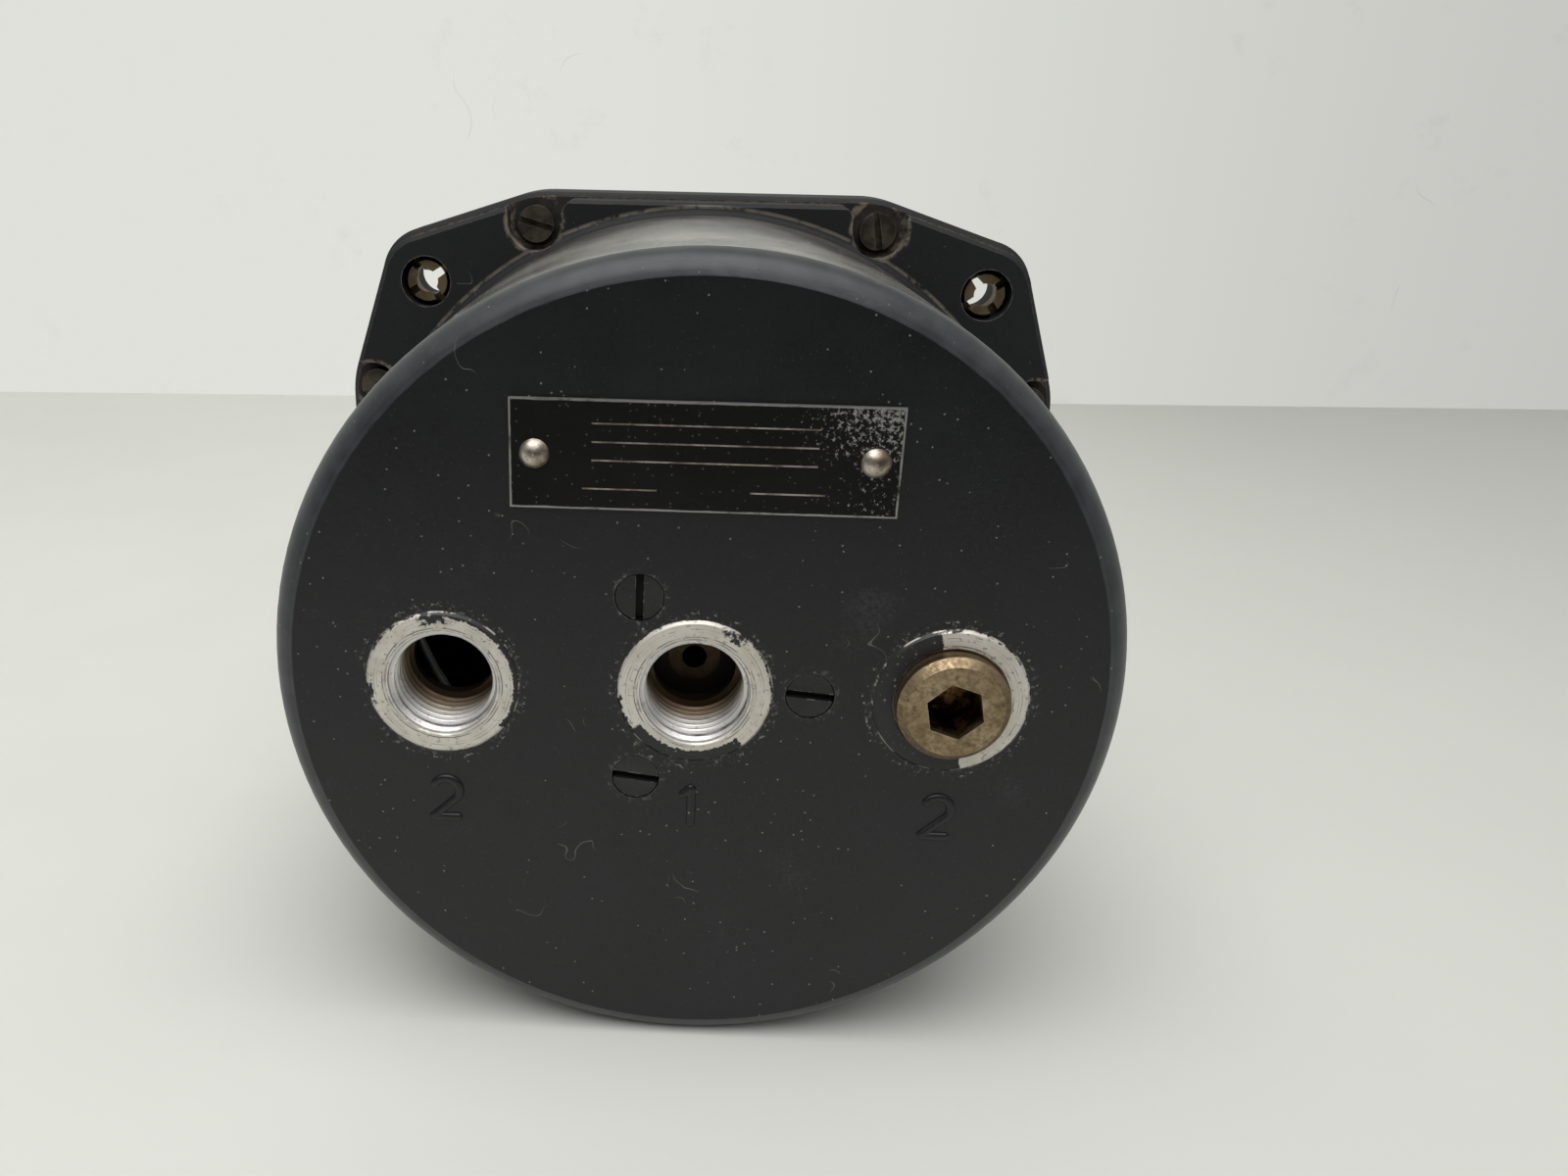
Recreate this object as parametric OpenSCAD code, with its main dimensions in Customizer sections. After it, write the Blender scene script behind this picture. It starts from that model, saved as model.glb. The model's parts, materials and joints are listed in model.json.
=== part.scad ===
// Panel airspeed indicator: a moulded case with three ports, a bezel, and a geared diaphragm movement.
// Millimetres. X is right and Z is up as the pilot sees the dial, and Y points to the rear.
// Zero is the middle of the bezel face that seats on the panel. The pointer is drawn at no airspeed.

/* [Flange] */
// Flange size across its flats
flange_across = 82.55; // [82:0.05:85]
// Distance from the flats in to the middles of the mounting holes
hole_edge = 9.845; // [9.6:0.005:10.4]
// Half the length of each flat
flat_half = 19.5; // [18.5:0.1:20.5]
// Slope in degrees of the edge from a flat to an ear
ear_slope = 18; // [16:0.5:20]
// Rounding where a flat meets a sloping edge
corner_r = 12; // [8:0.5:16]
// Thickness of the case flange under the pads
flange_t = 1.8; // [1.4:0.1:2.4]
// Chamfer round the case flange
flange_chamfer = 0.5; // [0.2:0.05:0.6]
// Height of the pads on the case flange
pad_t = 3; // [2.4:0.1:4]
// Step from the flange outline in to the pads
pad_inset = 0.65; // [0.3:0.05:1]
// Chamfer round the pads
pad_chamfer = 0.4; // [0.2:0.05:0.6]
// Radius of the holes in the ears of the case
ear_hole_r = 2.8; // [2.5:0.05:3.1]
// Radius of each screw pocket
pocket_r = 3.05; // [2.7:0.05:3.2]
// Distance from a pocket's middle to the flat that it opens on
pocket_depth = 3.2; // [2.9:0.05:3.4]
// Rounding where a pocket opens through the pad's edge
pocket_mouth_r = 1.6; // [0.8:0.1:2]
// Distance from a pocket's middle to the end of its flat
pocket_set = 0.45; // [0.3:0.05:0.8]

/* [Case] */
// Distance from the flange's flats in to the side of the case
flange_edge = 1.975; // [1.8:0.025:2.5]
// Thickness of the side wall
side_wall = 3.5; // [3:0.1:3.8]
// Thickness of the rear wall
rear_wall = 4; // [3.4:0.1:4.6]
// Distance from the pads to the rear face
case_len = 38.58; // [37.5:0.1:45]
// Width of the rear rim, from the rear face's edge out to the side
rim_w = 2.15; // [1.5:0.05:2.8]
// Depth of the rear rim along the side
rim_depth = 2.4; // [1.8:0.05:3]
// Radius of the rim's curve, which meets the rear face and the side at slight creases
rim_curve_r = 2.8; // [2.6:0.05:4]
// Rounding at the flange's root
root_r = 0.9; // [0.5:0.1:1.2]
// Wall of the boss round each static port
boss_wall = 1.6; // [1:0.1:1.7]
// Height of those bosses on the inside
boss_h = 3; // [2:0.1:3.2]

/* [Bezel] */
// Thickness of the bezel plate
bezel_t = 4.5; // [4:0.1:6]
// Height of the ring that stands through the panel
ring_h = 2.3; // [1.5:0.1:3]
// Distance from the side of the case in to that ring
ring_inset = 0.3; // [0:0.05:0.5]
// Rounding of the ring's front edge
ring_round = 0.9; // [0.4:0.1:1]
// Overlap of the bezel on the front of the glass
window_lap = 2.7; // [2.3:0.1:3.8]
// Widening of the opening from the glass to the front
window_flare = 1.8; // [1:0.1:2.2]
// Radius of the mounting holes in the bezel
bezel_hole_r = 2.2; // [1.9:0.05:2.5]
// Overlap of the glass on the rim of the case
glass_lap = 1.5; // [1.2:0.1:1.7]
// Thickness of the cover glass
glass_t = 2.2; // [1.8:0.1:2.4]
// Bevel of the cover glass
glass_bevel = 0.3; // [0.2:0.05:0.5]
// Clearance round the cover glass
glass_gap = 0.2; // [0.1:0.05:0.3]
// Straight part of the opening in front of the glass
window_lip = 0.4; // [0.3:0.05:0.8]
// Thickness of the gasket behind the glass
gasket_t = 0.6; // [0.4:0.05:0.8]

/* [Screws and inserts] */
// Radius of the bezel screw heads
bezel_head_r = 2; // [1.8:0.05:2.3]
// Height of the bezel screw heads
bezel_head_h = 1.5; // [1.2:0.1:2]
// Radius of the bezel screw shanks
bezel_shank_r = 1.1; // [0.9:0.05:1.3]
// Length of the bezel screw shanks
bezel_shank_len = 4.2; // [3.4:0.1:4.6]
// Distance from a pocket's middle in to its screw
bezel_screw_set = 0.2; // [0:0.05:0.4]
// Depth of tapped holes beyond their screws
tap_extra = 0.6; // [0.4:0.05:0.8]
// Clearance of screws in plain holes and of pieces that drop into a seat
loose_gap = 0.1; // [0.05:0.01:0.15]
// Radius of the threaded bore in a mounting insert
insert_bore_r = 1.75; // [1.6:0.05:1.9]
// Length of a mounting insert
insert_len = 3.7; // [3:0.1:4.2]
// Narrowing of the insert's fingers at their tips
insert_taper = 0.55; // [0.2:0.05:0.7]
// Radius that the fingers close to at their tips
insert_tip_r = 1.2; // [1:0.05:1.5]
// Length of that narrowing
insert_taper_len = 1.6; // [1.2:0.05:1.8]
// Gap between an insert and the bezel
insert_set = 0.2; // [0.1:0.05:0.4]
// Width of the slits between those fingers
insert_slit = 0.9; // [0.5:0.1:1.1]
// Length of those slits
insert_slit_len = 2; // [1.9:0.1:2.4]
// Width of the screw slots
slot_w = 0.7; // [0.5:0.05:0.9]
// Depth of the screw slots
slot_depth = 0.75; // [0.5:0.05:0.9]

/* [Ports] */
// Distance from the pitot port to each static port
static_x = 23.24; // [23:0.02:24]
// Outer radius of the port bushes
bush_r = 7.145; // [6.9:0.005:7.3]
// Length of the port bushes
bush_len = 7.7; // [7:0.1:8]
// Height of the bushes above the rear face
bush_proud = 0.25; // [0.1:0.05:0.5]
// Radius of the threaded bore
port_r = 5.1; // [4.9:0.05:5.2]
// Length of the threaded bore
port_len = 6.5; // [5.5:0.1:6.8]
// Radius of the clear hole behind the thread
port_hole_r = 4; // [3.5:0.1:4.3]
// Widening of the port's mouth
port_mouth = 0.25; // [0.1:0.05:0.4]
// Chamfer round a bush's face
bush_edge = 0.3; // [0.1:0.05:0.5]
// Height of the plug above its bush
plug_proud = 2; // [1.5:0.1:2.5]
// Length of the plug inside its bush
plug_len = 5; // [4:0.1:5.4]
// Chamfer at both ends of the plug
plug_edge = 0.7; // [0.4:0.05:0.9]
// Size across the flats of the plug's hexagon socket
socket_across = 4.76; // [4:0.02:5.5]
// Depth of that socket
socket_depth = 4.6; // [3.5:0.1:5]
// Turn of that socket in degrees
socket_turn = 18; // [0:1:59]

/* [Nameplate] */
// Width of the plate
plate_w = 33.3; // [31:0.1:34]
// Height of the plate
plate_h = 9.6; // [9:0.1:11]
// Thickness of the plate
plate_t = 0.4; // [0.3:0.05:0.6]
// Height of the plate's middle above the ports
plate_z = 22.1; // [21:0.1:23]
// Distance between the rivets
rivet_spacing = 29; // [27:0.1:29.2]
// Radius of the rivet heads
rivet_head_r = 1.3; // [1.1:0.05:1.5]
// Height of the rivet heads
rivet_head_h = 0.75; // [0.5:0.05:0.9]
// Radius of the rivet shanks
rivet_shank_r = 0.8; // [0.6:0.05:0.9]
// Length of the rivet shanks in the wall
rivet_len = 2.4; // [1.5:0.1:2.8]

/* [Movement frame] */
// Distance of the movement screws from the pitot port
movement_screw_ring = 10.5; // [10.3:0.05:10.7]
// Radius of the movement screw heads
movement_head_r = 2.15; // [2:0.05:2.3]
// Height of the movement screw heads
movement_head_h = 1.6; // [1.3:0.1:1.9]
// Radius of the movement screw shanks
movement_shank_r = 1.4; // [1.2:0.05:1.5]
// Length of the movement screw shanks
movement_shank_len = 5.2; // [4.4:0.1:5.6]
// Depth of the movement screw heads below the rear face
movement_head_set = 0.1; // [0:0.05:0.4]
// Radius of the base's round seat
base_r = 14; // [13:0.1:14.2]
// Thickness of the base between the pitot seal and the capsule
base_web = 1.5; // [1.2:0.1:2]
// Thickness of the base's arms
arm_t = 3; // [2.5:0.1:3.5]
// Half the width of the base's arms at the middle
arm_root_r = 8; // [7:0.1:9]
// Half the width of the base's arms at the pillars
arm_tip_r = 4; // [3.4:0.1:4.6]
// Thickness of the pitot seal
seal_t = 0.5; // [0.4:0.05:0.8]
// Distance from the inside of the case in to the middles of the pillars
pillar_inset = 7.8; // [7:0.1:9]
// Radius of the pillars
pillar_r = 2.2; // [1.8:0.1:2.6]
// Radius of the pillars' studs and plate screws
stud_r = 1; // [0.8:0.05:1.2]
// Length of the threads in the pillars
stud_len = 5; // [4:0.1:5.5]
// Thickness of the movement plates
movement_plate_t = 2; // [1.6:0.1:2.4]
// Radius of the plates' lobes round the pillars
lobe_r = 4.5; // [4:0.1:5]
// Radius of the front plate's disc
front_disc_r = 22.5; // [22:0.1:24]
// Margin of the back plate's bar round the brackets
bar_margin = 0.6; // [0.4:0.1:1]
// Radius of the back plate's middle
back_disc_r = 9.5; // [9.3:0.1:10.5]
// Clearance round the drive arm in the back plate
slot_gap = 0.4; // [0.3:0.05:0.6]

/* [Dial and pointer] */
// Clearance round the dial
dial_gap = 0.4; // [0.3:0.1:1]
// Thickness of the dial
dial_t = 0.8; // [0.6:0.05:1]
// Distance from the bezel's rear face to the dial
dial_depth = 4.9; // [4.5:0.1:5.5]
// Radius of the hole in the dial
dial_hole_r = 3; // [2.8:0.1:3.2]
// Distance of the dial screws to each side
dial_screw_x = 17.5; // [16:0.1:18]
// Height of the dial screws
dial_screw_z = -9; // [-9.5:0.1:-8]
// Radius of the dial screw heads
dial_head_r = 1.7; // [1.4:0.1:2]
// Height of the dial screw heads
dial_head_h = 0.8; // [0.6:0.05:1]
// Radius of the dial screw shanks
dial_shank_r = 0.8; // [0.6:0.05:0.9]
// Distance that the dial screws end inside the front plate
dial_screw_short = 0.3; // [0.1:0.05:0.6]
// Distance from the dial to the pointer
pointer_gap = 2.3; // [2:0.1:2.6]
// Length of the pointer from its axis
pointer_len = 29; // [26:0.5:31]
// Length of the pointer's tail
pointer_tail = 10; // [7:0.5:12]
// Widest part of the pointer
pointer_w = 3.4; // [2.6:0.1:4]
// Thickness of the pointer
pointer_t = 0.5; // [0.4:0.05:0.6]
// Radius of the pointer's boss
pointer_boss_r = 3.4; // [3:0.1:4]
// Radius of the hub behind the pointer
pointer_hub_r = 2.2; // [1.8:0.1:2.6]
// Gap between that hub and the dial
pointer_hub_gap = 0.4; // [0.3:0.05:0.8]
// Length of the handstaff in front of the pointer
staff_end = 0.6; // [0.3:0.05:0.8]
// Sweep of the pointer in degrees
pointer_sweep = 320; // [280:5:330]

/* [Gears] */
// Gear module
gear_module = 0.3; // [0.28:0.005:0.305]
// Teeth on the pinion
pinion_teeth = 16; // [16:1:17]
// Teeth that the sector's full wheel would have
sector_teeth = 128; // [124:1:130]
// Pressure angle in degrees
pressure_angle = 20; // [20:0.5:22]
// Play between the teeth at the pitch line
backlash = 0.08; // [0.05:0.01:0.12]
// Thickness of the sector
sector_t = 1.5; // [1.2:0.1:1.8]
// Width of the sector's toothed rim
sector_rim = 2.6; // [2:0.1:3.2]
// Degrees of teeth beyond the sweep at each end of the sector
sector_spare = 5; // [4:0.5:8]
// Radius of the sector's hub
sector_hub_r = 3.2; // [2.8:0.1:3.5]
// Half the width of the sector's spokes at the rim
spoke_r = 0.9; // [0.7:0.05:1.1]
// Length of the pinion behind the sector
pinion_extra = 1; // [0.8:0.1:1.2]

/* [Diaphragm and levers] */
// Clearance between the diaphragm capsule and the pillars
capsule_gap = 3.8; // [3.4:0.1:5.5]
// Width of the capsule's flat soldered rim
capsule_rim = 1.8; // [1.2:0.1:2.4]
// Thickness of the capsule's metal
capsule_t = 0.3; // [0.25:0.01:0.35]
// Rise of each half from rim to middle
capsule_rise = 2.1; // [1.8:0.1:2.2]
// Height of the corrugations
capsule_wave = 0.4; // [0.25:0.05:0.45]
// Corrugations in each half
capsule_waves = 3; // [2:1:4]
// Radius of the capsule's flat middle
capsule_flat_r = 4.5; // [4:0.1:5.5]
// Radius of the capsule's stem
stem_r = 2.5; // [2:0.1:3]
// Radius of the air passage in the stem
stem_bore_r = 1.2; // [0.8:0.1:1.5]
// Height of the collar between base and capsule
collar_h = 0.6; // [0.5:0.05:0.8]
// Width of that collar round the stem
collar_w = 1; // [0.6:0.1:1.4]
// Length of the diaphragm post
post_len = 1.95; // [1.8:0.05:2.4]
// Radius of the diaphragm post's head
post_r = 1; // [0.8:0.05:1.1]
// Radius of the diaphragm post's neck
post_neck_r = 0.7; // [0.5:0.05:0.75]
// Radius of the diaphragm post's foot
post_foot_r = 2.2; // [1.6:0.1:2.6]
// Height of the diaphragm post's foot and head
post_foot_h = 0.5; // [0.4:0.05:0.6]
// Length of the lift arm
lift_r = 5; // [4.8:0.05:5.2]
// Length of the drive arm
drive_r = 10; // [9.6:0.1:10.4]
// Distance from the sector's axis to its tail pin
tail_r = 5; // [4.8:0.05:5.2]
// Radius of the contact tips and the tail pin
contact_r = 0.6; // [0.5:0.05:0.7]
// Gap kept at each contact
contact_gap = 0.1; // [0.08:0.01:0.14]
// Gap between the sector and the drive arm's tip
sector_tip_gap = 0.4; // [0.3:0.05:0.6]
// Length of the tail pin beyond the drive arm's tip
pin_extra = 0.5; // [0.3:0.05:0.8]
// Radius of the rocking shaft
rock_shaft_r = 1.25; // [1:0.05:1.4]
// Height of the rocking shaft above the back plate
rock_height = 3.5; // [3.3:0.1:3.8]
// Radius of the lever hubs
lever_hub_r = 2.2; // [2:0.05:2.4]
// Thickness of the levers along their shaft
lever_t = 1.9; // [1.5:0.1:2]
// Half the width of the levers
lever_half = 0.45; // [0.35:0.05:0.5]
// Length of the lever hubs along their shaft
lever_hub_w = 2.5; // [2.2:0.1:2.8]

/* [Brackets] */
// Distance from the capsule's axis to the left bracket
left_bracket = 6.3; // [6:0.1:6.6]
// Gap between the drive arm's hub and the right bracket
hub_gap = 0.5; // [0.4:0.05:0.7]
// Thickness of the brackets' upright walls
bracket_t = 1.8; // [1.6:0.1:2]
// Width of the brackets
bracket_w = 5.2; // [4.6:0.1:5.4]
// Height of the brackets above the rocking shaft
bracket_top = 2.4; // [2:0.1:2.8]
// Length of the brackets' feet
bracket_foot = 4.5; // [4:0.1:4.7]
// Width of the brackets' feet
bracket_foot_w = 3.6; // [3.2:0.1:4]
// Thickness of the brackets' feet
bracket_foot_t = 1.4; // [1:0.1:1.6]
// Radius of the bracket screws
bracket_screw_r = 0.8; // [0.6:0.05:0.9]
// Radius of the bracket screw heads
bracket_head_r = 1.4; // [1.2:0.05:1.6]
// Height of the bracket screw heads
bracket_head_h = 0.8; // [0.6:0.05:1]

/* [Pivots and hairspring] */
// Radius of the rocking shaft's pivots
rock_pivot_r = 0.5; // [0.4:0.05:0.6]
// Radius of the pivot screws
pivot_screw_r = 1.15; // [1:0.05:1.2]
// Depth of those pivots in the pivot screws
pivot_depth = 1.4; // [1.2:0.05:1.5]
// Length of the pivot screws outside the brackets
pivot_stand_out = 1; // [0.6:0.1:1.4]
// End play of the staffs and the shaft
end_play = 0.1; // [0.06:0.01:0.12]
// Radius of the handstaff where it carries the pointer
staff_r = 0.9; // [0.7:0.05:1]
// Radius of the staffs' rear pivots and the sector staff's pivots
pivot_r = 0.6; // [0.5:0.05:0.7]
// Radius of the staffs' middle parts
staff_body_r = 1.3; // [1.2:0.05:1.5]
// Outer radius of the pivot bushes
pivot_bush_r = 1.7; // [1.5:0.05:1.9]
// Thickness of the pivot bushes' collars
pivot_bush_collar = 0.6; // [0.4:0.05:0.8]
// Distance that those collars stand out round the bushes
pivot_collar_out = 0.7; // [0.4:0.05:0.9]
// Distance that the sector's front pivot ends inside the front plate
pivot_short = 0.3; // [0.2:0.05:0.6]
// Running clearance of the pivots
running_gap = 0.04; // [0.02:0.01:0.06]
// Clearance of fixed pieces in their seats
seat_gap = 0.02; // [0.01:0.005:0.03]
// Turns of the hairspring
spring_turns = 5; // [3:1:6]
// Distance between the hairspring's turns
spring_pitch = 1.15; // [1:0.05:1.2]
// Thickness of the hairspring's strip
spring_t = 0.2; // [0.15:0.01:0.25]
// Width of the hairspring's strip
spring_w = 1; // [0.8:0.05:1.2]
// Radius of the hairspring's collet
collet_r = 2.3; // [2:0.1:2.6]
// Length of the collet beyond each edge of the hairspring
collet_lip = 0.3; // [0.2:0.05:0.4]
// Gap between the hairspring and the back plate
spring_gap = 1.6; // [1.5:0.05:1.8]
// Radius of the hairspring's stud
spring_stud_r = 1; // [0.8:0.05:1.2]
// Radius of that stud in the back plate
spring_tenon_r = 0.6; // [0.5:0.05:0.7]
// Length of that stud in front of the hairspring
spring_stud_end = 0.5; // [0.3:0.05:0.7]

/* [Hidden] */
$fn = 72;
cut = 1;
tuck = 0.02;

// Radii from the flange inwards, and the middles of the mounting holes
half_across = flange_across / 2;
hole_at = half_across - hole_edge;
case_r = half_across - flange_edge;
cavity_r = case_r - side_wall;
ring_r = case_r - ring_inset;
glass_r = cavity_r + glass_lap;
window_r = glass_r - window_lap;
dial_r = cavity_r - dial_gap;
pillar_ring = cavity_r - pillar_inset;
capsule_r = pillar_ring - pillar_r - capsule_gap;

// Places along the depth, from the front
flange_y = bezel_t + flange_t;
pad_y = flange_y + pad_t;
rear_y = pad_y + case_len;
inner_y = rear_y - rear_wall;
ledge_y = bezel_t - glass_t - gasket_t;
bush_out_y = rear_y + bush_proud;
bush_in_y = bush_out_y - bush_len;
seal_y = bush_in_y - seal_t;
base_y = seal_y - base_web;
capsule_y = base_y - collar_h - capsule_t - capsule_rise;
post_seat_y = capsule_y - capsule_rise - capsule_t;

// Motion, all in constant ratios, with the levers square to their push half way along the sweep
sector_sweep = pointer_sweep * pinion_teeth / sector_teeth;
rock_sweep = sector_sweep * tail_r / drive_r;
rock_y = post_seat_y - post_len - contact_gap - contact_r - lift_r * sin(rock_sweep / 2);
rock_z = lift_r;
tip_y = rock_y - drive_r;

// Movement plates, gears and dial
back_plate_y = rock_y - rock_height;
back_plate_front_y = back_plate_y - movement_plate_t;
dial_y = bezel_t + dial_depth;
front_plate_y = dial_y + dial_t;
front_plate_back_y = front_plate_y + movement_plate_t;
pointer_y = dial_y - pointer_gap - pointer_t;
sector_back_y = tip_y - contact_r - sector_tip_gap;
sector_y = sector_back_y - sector_t;
gear_distance = gear_module * (pinion_teeth + sector_teeth) / 2;
sector_z = rock_z + 2 * contact_r + contact_gap;
sector_x = sqrt(pow(gear_distance, 2) - pow(sector_z, 2));
sector_at = [sector_x, sector_z];
mesh_angle = atan2(sector_z, sector_x);
drive_x = sector_x + tail_r * cos(sector_sweep / 2);

// Brackets that carry the rocking shaft
left_bracket_x = -left_bracket;
right_bracket_x = drive_x + lever_hub_w / 2 + hub_gap;
bracket_foot_z = rock_z - bracket_w / 2 - bracket_foot;
bracket_screws_at = [for (x = [left_bracket_x - bracket_t / 2, right_bracket_x + bracket_t / 2])
    [x, bracket_foot_z + bracket_foot / 2]];

// Hairspring
spring_y = back_plate_front_y - spring_gap - spring_w;
spring_in_r = collet_r + spring_t / 2 + seat_gap;
spring_out_r = spring_in_r + spring_turns * spring_pitch;
spring_start = 200;
wave_steps = 8;
spring_steps = 24;

// Depth of a tooth's root below the pitch line, in modules
tooth_root = 1.25;

// Ear and pocket outline
slope_reach = flat_half * sin(ear_slope) + half_across * cos(ear_slope);
ear_r = slope_reach - hole_at * (sin(ear_slope) + cos(ear_slope));
pocket_x = flat_half - pocket_set;
pocket_z = half_across - pocket_depth;
bezel_screw_z = pocket_z - bezel_screw_set;
bend_middle = [half_across - corner_r, flat_half - corner_r * tan(ear_slope / 2)];
bend_steps = 6;
rim_middle = [case_r - rim_w / 2, rear_y - rim_depth / 2];
rim_out = [rim_depth, rim_w] / norm([rim_w, rim_depth]);
rim_centre = rim_middle - rim_out * sqrt(pow(rim_curve_r, 2) - pow(norm([rim_w, rim_depth]) / 2, 2));
pillar_angles = [90, 225, 315];
movement_screw_angles = [60, 180, 300];
movement_slot_turns = [90, 5, 7];
bezel_slot_turns = [15, 101, 61, 121, 108, 168, 155, 35];
dial_slot_turn = 30;
insert_slit_turn = 35;
insert_y = bezel_t + insert_set;
bezel_hole_depth = bezel_shank_len - flange_t + tap_extra;
movement_head_y = rear_y - movement_head_set - movement_head_h;

// Colours as the photograph shows them, and plain metals inside
moulding = [0.10, 0.11, 0.12];
bare_metal = [0.72, 0.70, 0.67];
brass = [0.60, 0.48, 0.28];
dark_steel = [0.16, 0.15, 0.14];
bright_steel = [0.75, 0.76, 0.77];
rubber = [0.06, 0.06, 0.06];
dial_black = [0.05, 0.05, 0.05];
glass_clear = [0.80, 0.88, 0.90, 0.35];

// A point at a radius and an angle
function polar(r, a) = [r * cos(a), r * sin(a)];

// The items of a list in the other order
function backwards(list) = [for (i = [len(list) - 1 : -1 : 0]) list[i]];

// Placing helpers: outlines are drawn in X and Z as the pilot sees them, profiles in radius and Y
module at(p) { translate([p.x, 0, p.y]) children(); }
module slab(y0, y1) { translate([0, y1, 0]) rotate([90, 0, 0]) linear_extrude(y1 - y0) children(); }
module turned() { rotate([-90, 0, 0]) rotate_extrude() children(); }
module rod(r, y0, y1) { translate([0, y0, 0]) rotate([-90, 0, 0]) cylinder(r = r, h = y1 - y0); }
module rod_x(r, x0, x1) { translate([x0, 0, 0]) rotate([0, 90, 0]) cylinder(r = r, h = x1 - x0); }
module slab_x(x0, x1) { translate([x0, 0, 0]) rotate([90, 0, 90]) linear_extrude(x1 - x0) children(); }
module at_rock() { translate([0, rock_y, rock_z]) children(); }
module at_rock_rest() { at_rock() rotate([rock_sweep / 2, 0, 0]) children(); }
module four_ears() { for (sx = [-1, 1], sz = [-1, 1]) at([sx * hole_at, sz * hole_at]) children(); }
module pillars() { for (a = pillar_angles) at(polar(pillar_ring, a)) children(); }

// Two discs joined along their common tangents, by a bar drawn in a little so that it crosses both edges
module link(a, ra, b, rb) {
    d = b - a;
    turn = atan2(d.y, d.x);
    lean = acos((ra - rb) / norm(d));
    translate(a) circle(ra);
    translate(b) circle(rb);
    polygon([
        a + polar(ra - tuck, turn + lean), a + polar(ra - tuck, turn - lean),
        b + polar(rb - tuck, turn - lean), b + polar(rb - tuck, turn + lean)
    ]);
}

// Flange outline: flats, rounded corners, sloping edges and round ears about the holes, drawn in by a step
module flange_outline(step) {
    r = ear_r - step;
    ear = [hole_at, hole_at];
    bend = [for (i = [0 : bend_steps]) bend_middle + polar(corner_r - step, ear_slope * i / bend_steps)];
    side = concat(
        [for (p = backwards(bend)) [p.x, -p.y]],
        bend,
        [ear + polar(r - tuck, ear_slope), ear + polar(r - tuck, 90 - ear_slope)]
    );
    polygon([for (k = [0 : 3], p = side) [[cos(90 * k), -sin(90 * k)], [sin(90 * k), cos(90 * k)]] * p]);
    for (sx = [-1, 1], sz = [-1, 1]) translate([sx * hole_at, sz * hole_at]) circle(r);
}

// Layer of the flange with a chamfer round its rear edge
module flange_layer(y0, y1, step, chamfer) {
    slab(y0, y1 - chamfer) flange_outline(step);
    translate([0, y1 - chamfer, 0]) mirror([0, 1, 0]) rotate([90, 0, 0])
        linear_extrude(chamfer, scale = 1 - chamfer / half_across) flange_outline(step);
}

// Children at the eight pocket places, drawn for the upper right one, which opens upwards
module eight_pockets() {
    for (k = [0 : 3]) rotate([0, 90 * k, 0]) {
        children();
        mirror([1, 0, 0]) children();
    }
}

// One pocket: round at the screw, open to the flat, with rounded lips
module pocket_outline() {
    edge = pocket_depth - pad_inset;
    translate([pocket_x, pocket_z]) {
        circle(pocket_r);
        translate([-pocket_r, 0]) square([2 * pocket_r, edge + cut]);
        for (s = [0, 1]) mirror([s, 0]) difference() {
            translate([pocket_r - tuck, edge - pocket_mouth_r])
                square([pocket_mouth_r + tuck, pocket_mouth_r + cut]);
            translate([pocket_r + pocket_mouth_r, edge - pocket_mouth_r]) circle(pocket_mouth_r);
        }
    }
}

// Slotted screw with a round head, its bearing face at y and its shank towards the front
module slotted_screw(y, head_r, head_h, shank_r, shank_len, slot_turn) {
    difference() {
        union() {
            rod(head_r, y, y + head_h);
            rod(shank_r, y - shank_len, y + head_h / 8);
        }
        rotate([0, -slot_turn, 0]) translate([-head_r - cut, y + head_h - slot_depth, -slot_w / 2])
            cube([2 * (head_r + cut), slot_depth + cut, slot_w]);
    }
}

// Moulded case: a round cup with a flange, pads, screw pockets, port seats and bosses
module case() {
    color(moulding) difference() {
        union() {
            turned() {
                translate([0, bezel_t]) square([case_r, rear_y - rim_depth - tuck - bezel_t]);
                translate([0, bezel_t]) square([case_r - rim_w - tuck, rear_y - bezel_t]);
                intersection() {
                    translate(rim_centre) circle(rim_curve_r);
                    translate([case_r - rim_w - cut, rear_y - rim_depth - cut])
                        square([rim_w + cut, rim_depth + cut]);
                }
            }
            flange_layer(bezel_t, flange_y, 0, flange_chamfer);
            difference() {
                union() {
                    flange_layer(flange_y - cut, pad_y, pad_inset, pad_chamfer);
                    turned() difference() {
                        translate([case_r - cut, pad_y - cut]) square([root_r + cut, root_r + cut]);
                        translate([case_r + root_r, pad_y + root_r]) circle(root_r);
                    }
                }
                eight_pockets() slab(flange_y, pad_y + root_r + cut) pocket_outline();
            }
        }
        rod(cavity_r, bezel_t - cut, inner_y);
        rod(bush_r + seat_gap, inner_y - cut, rear_y + cut);
        for (s = [-1, 1]) at([s * static_x, 0]) rod(bush_r + seat_gap, inner_y - cut, rear_y + cut);
        for (a = movement_screw_angles) at(polar(movement_screw_ring, a)) {
            rod(movement_shank_r + loose_gap, inner_y - cut, rear_y + cut);
            rod(movement_head_r + loose_gap, movement_head_y, rear_y + cut);
        }
        for (s = [-1, 1]) at([s * rivet_spacing / 2, plate_z])
            rod(rivet_shank_r + seat_gap, rear_y - rivet_len - tap_extra, rear_y + cut);
        eight_pockets() at([pocket_x, bezel_screw_z])
            rod(bezel_shank_r + loose_gap, bezel_t - cut, flange_y + cut);
        four_ears() rod(ear_hole_r, bezel_t - cut, pad_y + cut);
    }
    color(moulding) for (s = [-1, 1]) at([s * static_x, 0]) difference() {
        rod(bush_r + boss_wall, inner_y - boss_h, inner_y);
        rod(bush_r + seat_gap, inner_y - boss_h - cut, inner_y + cut);
    }
}

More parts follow.
